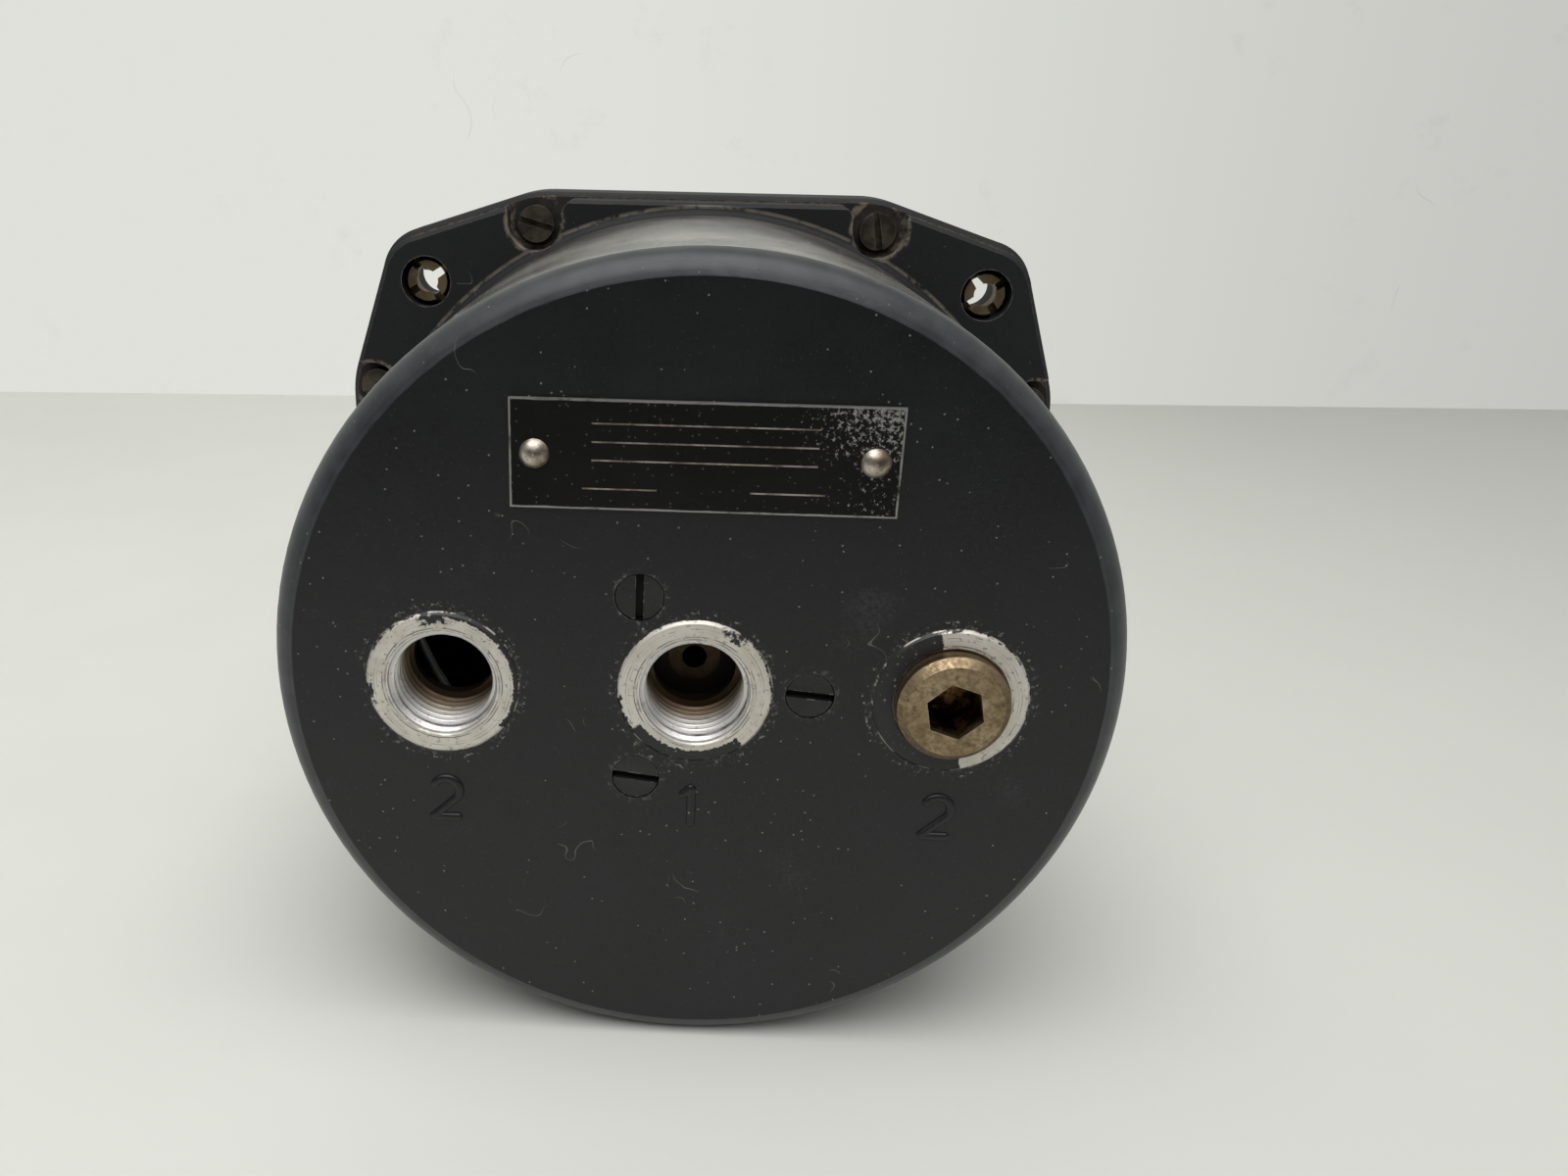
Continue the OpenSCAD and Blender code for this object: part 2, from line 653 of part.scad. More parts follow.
// Bezel: flange plate with a raised ring, a flared opening and a seat for the glass
module bezel() {
    color(moulding) difference() {
        union() {
            slab(0, bezel_t) flange_outline(0);
            turned() {
                translate([0, -ring_h]) square([ring_r - ring_round, ring_h + cut]);
                translate([0, ring_round - ring_h]) square([ring_r, ring_h - ring_round + cut]);
                translate([ring_r - ring_round, ring_round - ring_h]) circle(ring_round);
            }
        }
        turned() polygon([
            [0, -ring_h - cut], [window_r + window_flare + cut, -ring_h - cut],
            [window_r + window_flare, -ring_h], [window_r, ledge_y - window_lip],
            [window_r, ledge_y + cut], [0, ledge_y + cut]
        ]);
        rod(glass_r + glass_gap, ledge_y, bezel_t + cut);
        four_ears() rod(bezel_hole_r, -cut, bezel_t + cut);
        eight_pockets() at([pocket_x, bezel_screw_z])
            rod(bezel_shank_r + seat_gap, bezel_t - bezel_hole_depth, bezel_t + cut);
    }
}

// Flat glass with a ground edge
module cover_glass() {
    back_y = ledge_y + glass_t;
    color(glass_clear) turned() polygon([
        [0, ledge_y], [glass_r - glass_bevel, ledge_y], [glass_r, ledge_y + glass_bevel],
        [glass_r, back_y - glass_bevel], [glass_r - glass_bevel, back_y], [0, back_y]
    ]);
}

// Flat gasket that the case presses on the glass
module glass_gasket() {
    color(rubber) difference() {
        rod(glass_r, ledge_y + glass_t, bezel_t);
        rod(cavity_r, ledge_y + glass_t - cut, bezel_t + cut);
    }
}

// Eight screws that hold the bezel to the case
module bezel_screws() {
    color(dark_steel) for (k = [0 : 3], m = [0, 1]) rotate([0, 90 * k, 0]) mirror([m, 0, 0])
        at([pocket_x, bezel_screw_z])
            slotted_screw(flange_y, bezel_head_r, bezel_head_h, bezel_shank_r, bezel_shank_len,
                          bezel_slot_turns[2 * k + m]);
}

// Four split inserts with springy fingers that lock the panel screws
module mounting_inserts() {
    tip_y = insert_y + insert_len;
    body_r = ear_hole_r - seat_gap;
    color(brass) four_ears() difference() {
        turned() polygon([
            [insert_bore_r, insert_y], [body_r, insert_y], [body_r, tip_y - insert_taper_len],
            [body_r - insert_taper, tip_y], [insert_tip_r, tip_y], [insert_bore_r, tip_y - insert_taper_len]
        ]);
        for (a = [0, 90]) rotate([0, insert_slit_turn + a, 0])
            translate([-ear_hole_r - cut, tip_y - insert_slit_len, -insert_slit / 2])
                cube([2 * (ear_hole_r + cut), insert_slit_len + cut, insert_slit]);
    }
}

// Threaded port bush, flush with the rear face
module port_bush() {
    step_y = bush_out_y - port_len;
    color(bare_metal) turned() polygon([
        [port_hole_r, bush_in_y], [bush_r, bush_in_y], [bush_r, bush_out_y - bush_edge],
        [bush_r - bush_edge, bush_out_y], [port_r + port_mouth, bush_out_y],
        [port_r, bush_out_y - port_mouth], [port_r, step_y], [port_hole_r, step_y]
    ]);
}

module open_static_bush() { at([static_x, 0]) port_bush(); }
module pitot_bush() { port_bush(); }
module plugged_static_bush() { at([-static_x, 0]) port_bush(); }

// Pipe plug with a hexagon socket
module port_plug() {
    top_y = bush_out_y + plug_proud;
    end_y = bush_out_y - plug_len;
    plug_r = port_r - seat_gap;
    color(brass) at([-static_x, 0]) difference() {
        turned() polygon([
            [0, end_y], [plug_r - plug_edge, end_y], [plug_r, end_y + plug_edge],
            [plug_r, top_y - plug_edge], [plug_r - plug_edge, top_y], [0, top_y]
        ]);
        rotate([0, -socket_turn, 0]) translate([0, top_y - socket_depth, 0]) rotate([-90, 0, 0])
            cylinder(r = socket_across / sqrt(3), h = socket_depth + cut, $fn = 6);
    }
}

// Thin plate with two rivet holes
module nameplate() {
    color(dark_steel) difference() {
        translate([-plate_w / 2, rear_y, plate_z - plate_h / 2]) cube([plate_w, plate_t, plate_h]);
        for (s = [-1, 1]) at([s * rivet_spacing / 2, plate_z])
            rod(rivet_shank_r + seat_gap, rear_y - cut, rear_y + plate_t + cut);
    }
}

// Round-headed rivets through the plate into the rear wall
module nameplate_rivets() {
    seat_y = rear_y + plate_t;
    dome_r = (pow(rivet_head_r, 2) + pow(rivet_head_h, 2)) / (2 * rivet_head_h);
    color(bright_steel) for (s = [-1, 1]) at([s * rivet_spacing / 2, plate_z]) {
        turned() intersection() {
            translate([0, seat_y + rivet_head_h - dome_r]) circle(dome_r);
            translate([0, seat_y]) square([rivet_head_r + cut, rivet_head_h + cut]);
        }
        rod(rivet_shank_r, rear_y - rivet_len, seat_y);
    }
}

// Three screws through the rear wall into the movement base
module movement_screws() {
    color(dark_steel) for (i = [0 : 2]) at(polar(movement_screw_ring, movement_screw_angles[i]))
        slotted_screw(movement_head_y, movement_head_r, movement_head_h,
                      movement_shank_r, movement_shank_len, movement_slot_turns[i]);
}

// Base casting: round seat on the rear wall, pitot passage and three arms for the pillars
module movement_base() {
    screw_y = movement_head_y - movement_shank_len - tap_extra;
    color(bare_metal) difference() {
        union() {
            rod(base_r, base_y, inner_y);
            slab(base_y, base_y + arm_t)
                for (a = pillar_angles) link([0, 0], arm_root_r, polar(pillar_ring, a), arm_tip_r);
        }
        rod(bush_r + loose_gap, seal_y, inner_y + cut);
        rod(stem_r + seat_gap, base_y - cut, seal_y + cut);
        for (a = movement_screw_angles) at(polar(movement_screw_ring, a))
            rod(movement_shank_r + seat_gap, screw_y, inner_y + cut);
        pillars() rod(stud_r + seat_gap, base_y - cut, base_y + arm_t + cut);
    }
}

// Flat seal between the pitot bush and the base
module pitot_seal() {
    color(rubber) difference() {
        rod(bush_r - loose_gap, seal_y, bush_in_y);
        rod(port_hole_r, seal_y - cut, bush_in_y + cut);
    }
}

// Pillars from the base to the back plate, riveted in the base and tapped in front
module base_pillars() {
    color(brass) pillars() difference() {
        union() {
            rod(pillar_r, back_plate_y, base_y);
            rod(stud_r, base_y - cut, base_y + arm_t);
        }
        rod(stud_r + seat_gap, back_plate_y - cut, back_plate_y + stud_len + tap_extra);
    }
}

// Pillars between the two plates, with studs that pass through the back plate
module movement_pillars() {
    color(brass) pillars() difference() {
        union() {
            rod(pillar_r, front_plate_back_y, back_plate_front_y);
            rod(stud_r, back_plate_front_y - cut, back_plate_y + stud_len);
        }
        rod(stud_r + seat_gap, front_plate_back_y - cut, front_plate_back_y + stud_len + tap_extra);
    }
}

// Countersunk screws that hold the front plate to its pillars
module plate_screws() {
    color(dark_steel) pillars() difference() {
        turned() polygon([
            [0, front_plate_y], [2 * stud_r, front_plate_y], [stud_r, front_plate_y + stud_r],
            [stud_r, front_plate_back_y + stud_len], [0, front_plate_back_y + stud_len]
        ]);
        translate([-2 * stud_r - cut, front_plate_y - cut, -slot_w / 2])
            cube([4 * stud_r + 2 * cut, slot_depth / 2 + cut, slot_w]);
    }
}

// Back plate: a bar under the rocking shaft and three arms, with a slot for the drive arm
module movement_back_plate() {
    slot_half = lever_half + (rock_height + movement_plate_t) * sin(rock_sweep / 2) + slot_gap;
    bar_start = [bracket_screws_at[0].x - bracket_foot_w / 2 - bar_margin, bracket_foot_z - bar_margin];
    bar_end = [bracket_screws_at[1].x + bracket_foot_w / 2 + bar_margin, rock_z + bracket_w / 2 + bar_margin];
    color(brass) difference() {
        slab(back_plate_front_y, back_plate_y) {
            translate(bar_start) square(bar_end - bar_start);
            translate(sector_at) circle(lobe_r);
            for (a = pillar_angles) link([0, 0], back_disc_r, polar(pillar_ring, a), lobe_r);
        }
        pillars() rod(stud_r + seat_gap, back_plate_front_y - cut, back_plate_y + cut);
        rod(pivot_bush_r + seat_gap, back_plate_front_y - cut, back_plate_y + cut);
        at(sector_at) rod(pivot_bush_r + seat_gap, back_plate_front_y - cut, back_plate_y + cut);
        at(polar(spring_out_r, spring_start))
            rod(spring_tenon_r + seat_gap, back_plate_front_y - cut, back_plate_y + cut);
        translate([drive_x - lever_t / 2 - slot_gap, back_plate_front_y - cut, rock_z - slot_half])
            cube([lever_t + 2 * slot_gap, movement_plate_t + 2 * cut, 2 * slot_half]);
        for (p = bracket_screws_at) at(p)
            rod(bracket_screw_r + seat_gap, back_plate_front_y - cut, back_plate_y + cut);
    }
}

// Front plate: a disc with three lobes, which also carries the dial
module movement_front_plate() {
    color(brass) difference() {
        slab(front_plate_y, front_plate_back_y) {
            circle(front_disc_r);
            for (a = pillar_angles) link([0, 0], front_disc_r / 2, polar(pillar_ring, a), lobe_r);
            translate(sector_at) circle(lobe_r);
        }
        pillars() turned() polygon([
            [0, front_plate_y - cut], [2 * stud_r + seat_gap + cut, front_plate_y - cut],
            [stud_r + seat_gap, front_plate_y + stud_r], [stud_r + seat_gap, front_plate_back_y + cut],
            [0, front_plate_back_y + cut]
        ]);
        rod(pivot_bush_r + seat_gap, front_plate_y - cut, front_plate_back_y + cut);
        at(sector_at) rod(pivot_bush_r + seat_gap, front_plate_y - cut, front_plate_back_y + cut);
        for (s = [-1, 1]) at([s * dial_screw_x, dial_screw_z])
            rod(dial_shank_r + seat_gap, front_plate_y - cut, front_plate_back_y + cut);
    }
}

// Flat dial on the front plate
module dial() {
    color(dial_black) difference() {
        rod(dial_r, dial_y, front_plate_y);
        rod(dial_hole_r, dial_y - cut, front_plate_y + cut);
        for (s = [-1, 1]) at([s * dial_screw_x, dial_screw_z])
            rod(dial_shank_r + seat_gap, dial_y - cut, front_plate_y + cut);
    }
}

// Two slotted screws that hold the dial, with their heads to the front
module dial_screws() {
    shank_len = dial_t + movement_plate_t - dial_screw_short;
    color(dark_steel) for (s = [-1, 1]) at([s * dial_screw_x, dial_screw_z])
        translate([0, dial_y, 0]) rotate([180, 0, 0])
            slotted_screw(0, dial_head_r, dial_head_h, dial_shank_r, shank_len, dial_slot_turn * s);
}

// Section of one capsule half as radius and height above the rim: a slope with concentric waves
function capsule_height(u) = capsule_rise * (1 - u) - capsule_wave * sin(360 * capsule_waves * u);
function capsule_radius(u) = capsule_flat_r + (capsule_r - capsule_rim - capsule_flat_r) * u;
function capsule_half(in_r, side) =
    let (steps = wave_steps * capsule_waves)
    let (sheet = concat(
        [[in_r, capsule_rise]],
        [for (i = [0 : steps]) [capsule_radius(i / steps), capsule_height(i / steps)]],
        [[capsule_r, 0]]
    ))
    concat(
        [for (p = sheet) [p.x, capsule_y + side * p.y]],
        [for (p = backwards(sheet)) [p.x, capsule_y + side * (p.y + capsule_t)]]
    );

// Rear half of the capsule, with the stem that carries it and lets the air in
module diaphragm_rear_half() {
    sheet_y = capsule_y + capsule_rise + capsule_t;
    color(bare_metal) turned() {
        polygon(capsule_half(stem_bore_r, 1));
        translate([stem_bore_r, sheet_y - capsule_t / 2])
            square([stem_r + collar_w - stem_bore_r, collar_h + capsule_t / 2]);
        translate([stem_bore_r, base_y - cut / 4]) square([stem_r - stem_bore_r, base_web + cut / 4]);
    }
}

// Front half of the capsule, which swells towards the dial
module diaphragm_front_half() {
    color(bare_metal) turned() polygon(capsule_half(0, -1));
}

// Post on the capsule's middle: a foot, a stem and a head that the lift arm rests on
module diaphragm_post() {
    foot_y = post_seat_y - post_foot_h;
    end_y = post_seat_y - post_len;
    color(brass) turned() polygon([
        [0, post_seat_y], [post_foot_r, post_seat_y], [post_foot_r, foot_y], [post_neck_r, foot_y],
        [post_neck_r, end_y + post_foot_h], [post_r, end_y + post_foot_h], [post_r, end_y], [0, end_y]
    ]);
}

// Shaft that turns the capsule's push into a rise of the drive arm
module rocking_shaft() {
    left = left_bracket_x + 2 * end_play;
    right = right_bracket_x - 2 * end_play;
    color(bright_steel) at_rock() {
        rod_x(rock_shaft_r, left, right);
        rod_x(rock_pivot_r, left - pivot_depth, left + cut);
        rod_x(rock_pivot_r, right - cut, right + pivot_depth);
    }
}

// A lever on the rocking shaft, from its hub to a round contact tip
module lever(x, tip) {
    color(brass) at_rock_rest() difference() {
        union() {
            rod_x(lever_hub_r, x - lever_hub_w / 2, x + lever_hub_w / 2);
            slab_x(x - lever_t / 2, x + lever_t / 2) {
                link([0, 0], lever_half, tip, lever_half);
                translate(tip) circle(contact_r);
            }
        }
        rod_x(rock_shaft_r + seat_gap, x - lever_hub_w, x + lever_hub_w);
    }
}

module lift_arm() { lever(0, [0, -lift_r]); }
module drive_arm() { lever(drive_x, [-drive_r, 0]); }

// Brackets on the back plate, one at each end of the rocking shaft, each with a foot at its side
module rocking_shaft_brackets() {
    height = rock_height + bracket_top;
    foot = [bracket_foot_w, bracket_foot_t, bracket_foot + cut / 2];
    color(brass) for (p = bracket_screws_at) difference() {
        union() {
            translate([p.x - bracket_t / 2, back_plate_y, rock_z - bracket_w / 2])
                cube([bracket_t, height, bracket_w]);
            translate([p.x - bracket_foot_w / 2, back_plate_y, bracket_foot_z]) cube(foot);
        }
        at_rock() rod_x(pivot_screw_r + seat_gap, p.x - bracket_t, p.x + bracket_t);
        at(p) rod(bracket_screw_r + seat_gap, back_plate_y - cut, back_plate_y + bracket_foot_t + cut);
    }
}

// Screws with cupped ends that carry the rocking shaft's pivots
module pivot_screws() {
    color(bright_steel) for (side = [-1, 1]) {
        x = side > 0 ? right_bracket_x : -left_bracket_x;
        mirror([side > 0 ? 0 : 1, 0, 0]) at_rock() difference() {
            rod_x(pivot_screw_r, x - end_play, x + bracket_t + pivot_stand_out);
            rod_x(rock_pivot_r + running_gap, x - cut, x + pivot_depth);
            translate([x + bracket_t + pivot_stand_out - slot_depth / 2, -slot_w / 4, -pivot_screw_r - cut])
                cube([slot_depth, slot_w / 2, 2 * (pivot_screw_r + cut)]);
        }
    }
}

// Screws that hold the brackets' feet
module bracket_screws() {
    seat_y = back_plate_y + bracket_foot_t;
    color(bright_steel) for (p = bracket_screws_at) at(p) difference() {
        union() {
            rod(bracket_head_r, seat_y, seat_y + bracket_head_h);
            rod(bracket_screw_r, back_plate_front_y, seat_y + bracket_head_h / 2);
        }
        translate([-bracket_head_r - cut, seat_y + bracket_head_h - slot_depth / 2, -slot_w / 4])
            cube([2 * (bracket_head_r + cut), slot_depth, slot_w / 2]);
    }
}

// Involute gear: half of a tooth's angle at a radius, and a tooth's outline about an angle
function involute(a) = tan(a) * 180 / PI - a;
function half_tooth(teeth, r) =
    let (pitch_r = gear_module * teeth / 2)
    let (base_circle = pitch_r * cos(pressure_angle))
    let (play = backlash / 2 / pitch_r * 90 / PI)
    90 / teeth - play + involute(pressure_angle) - involute(acos(base_circle / max(r, base_circle)));
function tooth(teeth, middle) =
    let (pitch_r = gear_module * teeth / 2)
    let (radii = [-tooth_root, -0.9, -0.5, 0, 0.5, 1])
    concat(
        [for (k = radii) polar(pitch_r + k * gear_module,
                               middle - half_tooth(teeth, pitch_r + k * gear_module))],
        [for (k = backwards(radii)) polar(pitch_r + k * gear_module,
                                          middle + half_tooth(teeth, pitch_r + k * gear_module))]
    );

// Toothed sector with two spokes, a hub and a tail that holds the pin
module sector_gear() {
    pitch = 360 / sector_teeth;
    count = ceil((sector_sweep / 2 + sector_spare) / pitch);
    rim_in = gear_module * (sector_teeth / 2 - tooth_root) - sector_rim;
    spoke = (count - 1) * pitch;
    color(brass) at(sector_at) rotate([0, sector_sweep / 2, 0]) difference() {
        union() {
            slab(sector_y, sector_back_y) {
                rotate(mesh_angle + 180) {
                    difference() {
                        polygon(concat(
                            [[0, 0]],
                            [for (i = [-count : count]) each tooth(sector_teeth, i * pitch)]
                        ));
                        circle(rim_in);
                    }
                    for (a = [-spoke, spoke])
                        link([0, 0], 2 * spoke_r, polar(rim_in + spoke_r, a), spoke_r);
                }
                circle(sector_hub_r);
                link([0, 0], 4 * contact_r, [tail_r, 0], 2 * contact_r);
            }
            at([tail_r, 0]) rod(contact_r, sector_back_y - cut, tip_y + contact_r + pin_extra);
        }
        rod(staff_body_r + seat_gap, sector_y - cut, sector_back_y + cut);
    }
}

// Staff of the sector, with a small pivot at each end
module sector_staff() {
    tip = front_plate_y + pivot_short;
    front = front_plate_back_y + pivot_bush_collar + end_play;
    back = back_plate_front_y - pivot_bush_collar - end_play;
    color(bright_steel) at(sector_at) turned() polygon([
        [0, tip], [pivot_r, tip], [pivot_r, front], [staff_body_r, front], [staff_body_r, back],
        [pivot_r, back], [pivot_r, back_plate_y], [0, back_plate_y]
    ]);
}

// Collared bush for a pivot, in a plate from y0 to y1, its collar beyond y1 on the given side
module pivot_bush(bore_r, y0, y1, side) {
    collar_y = side > 0 ? y1 : y0 - pivot_bush_collar;
    difference() {
        union() {
            rod(pivot_bush_r, y0, y1);
            rod(pivot_bush_r + pivot_collar_out, collar_y, collar_y + pivot_bush_collar);
        }
        rod(bore_r + running_gap, y0 - cut, y1 + cut);
    }
}

module sector_bushes() {
    color(bright_steel) at(sector_at) {
        pivot_bush(pivot_r, front_plate_y, front_plate_back_y, 1);
        pivot_bush(pivot_r, back_plate_front_y, back_plate_y, -1);
    }
}

module handstaff_bushes() {
    color(bright_steel) {
        pivot_bush(staff_r, front_plate_y, front_plate_back_y, 1);
        pivot_bush(pivot_r, back_plate_front_y, back_plate_y, -1);
    }
}

// Handstaff: pointer seat, pinion and rear pivot in one piece
module handstaff() {
    tip = pointer_y - staff_end;
    front = front_plate_back_y + pivot_bush_collar + end_play;
    back = back_plate_front_y - pivot_bush_collar - end_play;
    pitch = 360 / pinion_teeth;
    color(bright_steel) {
        turned() polygon([
            [0, tip], [staff_r, tip], [staff_r, front], [staff_body_r, front], [staff_body_r, back],
            [pivot_r, back], [pivot_r, back_plate_y], [0, back_plate_y]
        ]);
        slab(front, sector_back_y + pinion_extra) rotate(mesh_angle + pointer_sweep / 2)
            polygon([for (i = [0 : pinion_teeth - 1]) each tooth(pinion_teeth, (i + 0.5) * pitch)]);
    }
}

// Collet that holds the hairspring's inner end
module hairspring_collet() {
    color(brass) difference() {
        rod(collet_r, spring_y - collet_lip, spring_y + spring_w + collet_lip);
        rod(staff_body_r + seat_gap, spring_y - cut, spring_y + spring_w + cut);
    }
}

// Flat spiral of even pitch, from the collet out to the stud
function spiral(offset) = [
    for (i = [0 : spring_turns * spring_steps])
        let (turn = i / spring_steps)
        polar(spring_in_r + spring_pitch * turn + offset, spring_start + 360 * turn)
];
module hairspring() {
    color(bright_steel) slab(spring_y, spring_y + spring_w)
        polygon(concat(spiral(-spring_t / 2), backwards(spiral(spring_t / 2))));
}

// Split stud that holds the hairspring's outer end
module hairspring_stud() {
    grip = spring_t / 2 + 3 * seat_gap;
    color(brass) at(polar(spring_out_r, spring_start)) difference() {
        union() {
            rod(spring_stud_r, spring_y - spring_stud_end, back_plate_front_y);
            rod(spring_tenon_r, back_plate_front_y - cut, back_plate_y);
        }
        rotate([0, 180 / spring_steps - spring_start, 0])
            translate([-grip, spring_y - cut, -spring_stud_r - cut])
                cube([2 * grip, spring_w + cut + seat_gap, 2 * (spring_stud_r + cut)]);
    }
}

// Pointer: a lance with a round boss and a counterweight tail, upright at no airspeed
module pointer() {
    color("ivory") difference() {
        slab(pointer_y, pointer_y + pointer_t) {
            circle(pointer_boss_r);
            polygon([
                [-pointer_w / 3, 0], [pointer_w / 3, 0], [pointer_w / 2, pointer_len * 0.7],
                [0, pointer_len], [-pointer_w / 2, pointer_len * 0.7]
            ]);
            link([0, 0], pointer_w / 4, [0, -pointer_tail + pointer_w], pointer_w / 1.4);
        }
        rod(staff_r + seat_gap, pointer_y - cut, pointer_y + pointer_t + cut);
    }
}

// Hub behind the pointer, pressed on the handstaff
module pointer_hub() {
    color(brass) difference() {
        rod(pointer_hub_r, pointer_y + pointer_t, dial_y - pointer_hub_gap);
        rod(staff_r + seat_gap, pointer_y, dial_y);
    }
}

case();
bezel();
cover_glass();
glass_gasket();
bezel_screws();
mounting_inserts();
open_static_bush();
pitot_bush();
plugged_static_bush();
port_plug();
nameplate();
nameplate_rivets();
movement_screws();
movement_base();
pitot_seal();
base_pillars();
movement_back_plate();
movement_pillars();
movement_front_plate();
plate_screws();
dial();
dial_screws();
diaphragm_rear_half();
diaphragm_front_half();
diaphragm_post();
rocking_shaft();
lift_arm();
drive_arm();
rocking_shaft_brackets();
pivot_screws();
bracket_screws();
sector_gear();
sector_staff();
sector_bushes();
handstaff();
handstaff_bushes();
hairspring_collet();
hairspring();
hairspring_stud();
pointer();
pointer_hub();
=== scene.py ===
"""Looks of a panel airspeed indicator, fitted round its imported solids.

Metres, in the solids' frame: X is right and Z is up as the pilot sees the dial, and Y points to the rear.
The camera looks at the rear, so its left is the side of positive X.
"""

import json
import math

import bmesh
import bpy
import numpy as np
from mathutils import Matrix, Vector


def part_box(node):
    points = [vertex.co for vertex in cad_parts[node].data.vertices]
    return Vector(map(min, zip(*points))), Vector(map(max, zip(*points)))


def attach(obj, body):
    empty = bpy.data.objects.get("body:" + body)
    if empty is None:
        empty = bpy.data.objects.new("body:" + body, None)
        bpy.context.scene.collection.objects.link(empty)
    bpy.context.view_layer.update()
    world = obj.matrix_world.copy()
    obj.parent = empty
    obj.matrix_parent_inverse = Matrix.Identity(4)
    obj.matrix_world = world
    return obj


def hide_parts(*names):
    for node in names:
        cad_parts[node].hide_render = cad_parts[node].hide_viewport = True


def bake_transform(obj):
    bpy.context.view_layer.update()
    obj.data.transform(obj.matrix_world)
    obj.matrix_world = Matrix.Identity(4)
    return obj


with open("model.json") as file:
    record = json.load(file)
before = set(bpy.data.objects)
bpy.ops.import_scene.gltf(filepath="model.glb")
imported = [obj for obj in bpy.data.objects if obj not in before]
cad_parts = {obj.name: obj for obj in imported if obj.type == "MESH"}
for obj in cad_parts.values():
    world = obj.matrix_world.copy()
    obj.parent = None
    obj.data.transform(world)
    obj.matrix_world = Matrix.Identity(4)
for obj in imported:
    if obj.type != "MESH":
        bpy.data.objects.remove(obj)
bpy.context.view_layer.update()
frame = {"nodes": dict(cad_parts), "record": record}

MM = 0.001
HOUSING = "housing"

# Places taken from the solids
PLATE_LOW, PLATE_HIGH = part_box("nameplate")
PLATE_MIDDLE_Z = (PLATE_LOW.z + PLATE_HIGH.z) / 2
REAR_Y = PLATE_LOW.y
BUSH_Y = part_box("pitot_bush")[1].y
BUSH_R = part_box("pitot_bush")[1].x
STATIC_LOW, STATIC_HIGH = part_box("open_static_bush")
STATIC_X = (STATIC_LOW.x + STATIC_HIGH.x) / 2
PLUG_LOW, PLUG_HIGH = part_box("port_plug")
PLUG_R = (PLUG_HIGH.x - PLUG_LOW.x) / 2
SCREW_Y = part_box("movement_screws")[1].y
DIAL_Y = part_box("dial")[0].y
DIAL_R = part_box("dial")[1].x
PORT = next(mount for mount in frame["record"]["mounts"] if mount["name"] == "pitot_port")
PORT_R = PORT["dims"]["r_mm"] * MM
PORT_LEN = PORT["dims"]["length_mm"] * MM

# Ports: middle along X, and the number moulded under each
PLUGGED_BUSH = "plugged_static_bush"
PORT_CENTRES = {"open_static_bush": STATIC_X, "pitot_bush": 0.0, PLUGGED_BUSH: -STATIC_X}
PORT_NUMBERS = {"open_static_bush": 2, "pitot_bush": 1, PLUGGED_BUSH: 2}

# Zones of the moulded case
JOINT_Y = 4.5 * MM
FLANGE_BACK_Y = 6.3 * MM
PAD_Y = 9.3 * MM
SIDE_R = 39.3 * MM
SIDE_FRONT_Y = 10.2 * MM
RIM_IN_R = 37.15 * MM
RIM_FRONT_Y = 45.48 * MM
ROOT_R = 40.2 * MM
POCKET_X = 19.05 * MM
POCKET_Z = 38.075 * MM
POCKET_R = 3.05 * MM
SCREW_RING = 10.5 * MM
SCREW_ANGLES = (60, 180, 300)

# Meshes: points nearer than the gap are merged, and faces that meet at less than a crease angle are smooth
MERGE_GAP = 0.0005 * MM
SHEET_CREASE = 40
BAR_CREASE = 20
BAR_SIDES = ((0, 1, 3, 2), (4, 6, 7, 5), (0, 4, 5, 1), (2, 3, 7, 6), (0, 2, 6, 4), (1, 5, 7, 3))


def put(name, data):
    """New object in the scene."""
    made = bpy.data.objects.new(name, data)
    bpy.context.scene.collection.objects.link(made)
    return made


def merged_mesh(name, shape, turn_outwards=False):
    """Mesh of a working shape, with equal points merged and, where asked, faces turned outwards."""
    bmesh.ops.remove_doubles(shape, verts=shape.verts, dist=MERGE_GAP)
    if turn_outwards:
        bmesh.ops.recalc_face_normals(shape, faces=shape.faces)
    mesh = bpy.data.meshes.new(name)
    shape.to_mesh(mesh)
    shape.free()
    return mesh


def soften(mesh, crease):
    """Shades a mesh smooth where its faces meet at less than the crease angle in degrees."""
    mesh.shade_smooth()
    mesh.set_sharp_from_angle(angle=math.radians(crease))


def solid_mesh(name, points, faces, crease):
    """Closed mesh from points and four-sided faces."""
    raw = bpy.data.meshes.new("raw faces")
    raw.from_pydata(points.reshape(-1, 3).tolist(), [], faces.reshape(-1, 4).tolist())
    shape = bmesh.new()
    shape.from_mesh(raw)
    bpy.data.meshes.remove(raw)
    mesh = merged_mesh(name, shape, turn_outwards=True)
    soften(mesh, crease)
    return mesh


def grid_mesh(name, points, crease, wrap_rows=True):
    """Mesh on a grid of points that joins round along its columns and, where asked, along its rows."""
    rows, columns = points.shape[:2]
    place = np.arange(rows * columns).reshape(rows, columns)
    if wrap_rows:
        place = np.vstack([place, place[:1]])
    place = np.hstack([place, place[:, :1]])
    quads = np.stack([place[:-1, :-1], place[1:, :-1], place[1:, 1:], place[:-1, 1:]], axis=-1)
    return solid_mesh(name, points, quads, crease)


def bars(name, middles, along, across, up, half_sizes):
    """Bars as boxes: each corner is the middle plus or minus each half size along its axis."""
    signs = np.array([[a, b, c] for a in (-1, 1) for b in (-1, 1) for c in (-1, 1)])
    axes = np.stack([along, across, up], axis=1)
    corners = middles[:, None, :] + np.einsum("ks,nsd->nkd", signs, axes * half_sizes[:, :, None])
    faces = np.arange(len(middles))[:, None, None] * len(signs) + np.array(BAR_SIDES)
    return solid_mesh(name, corners, faces, BAR_CREASE)


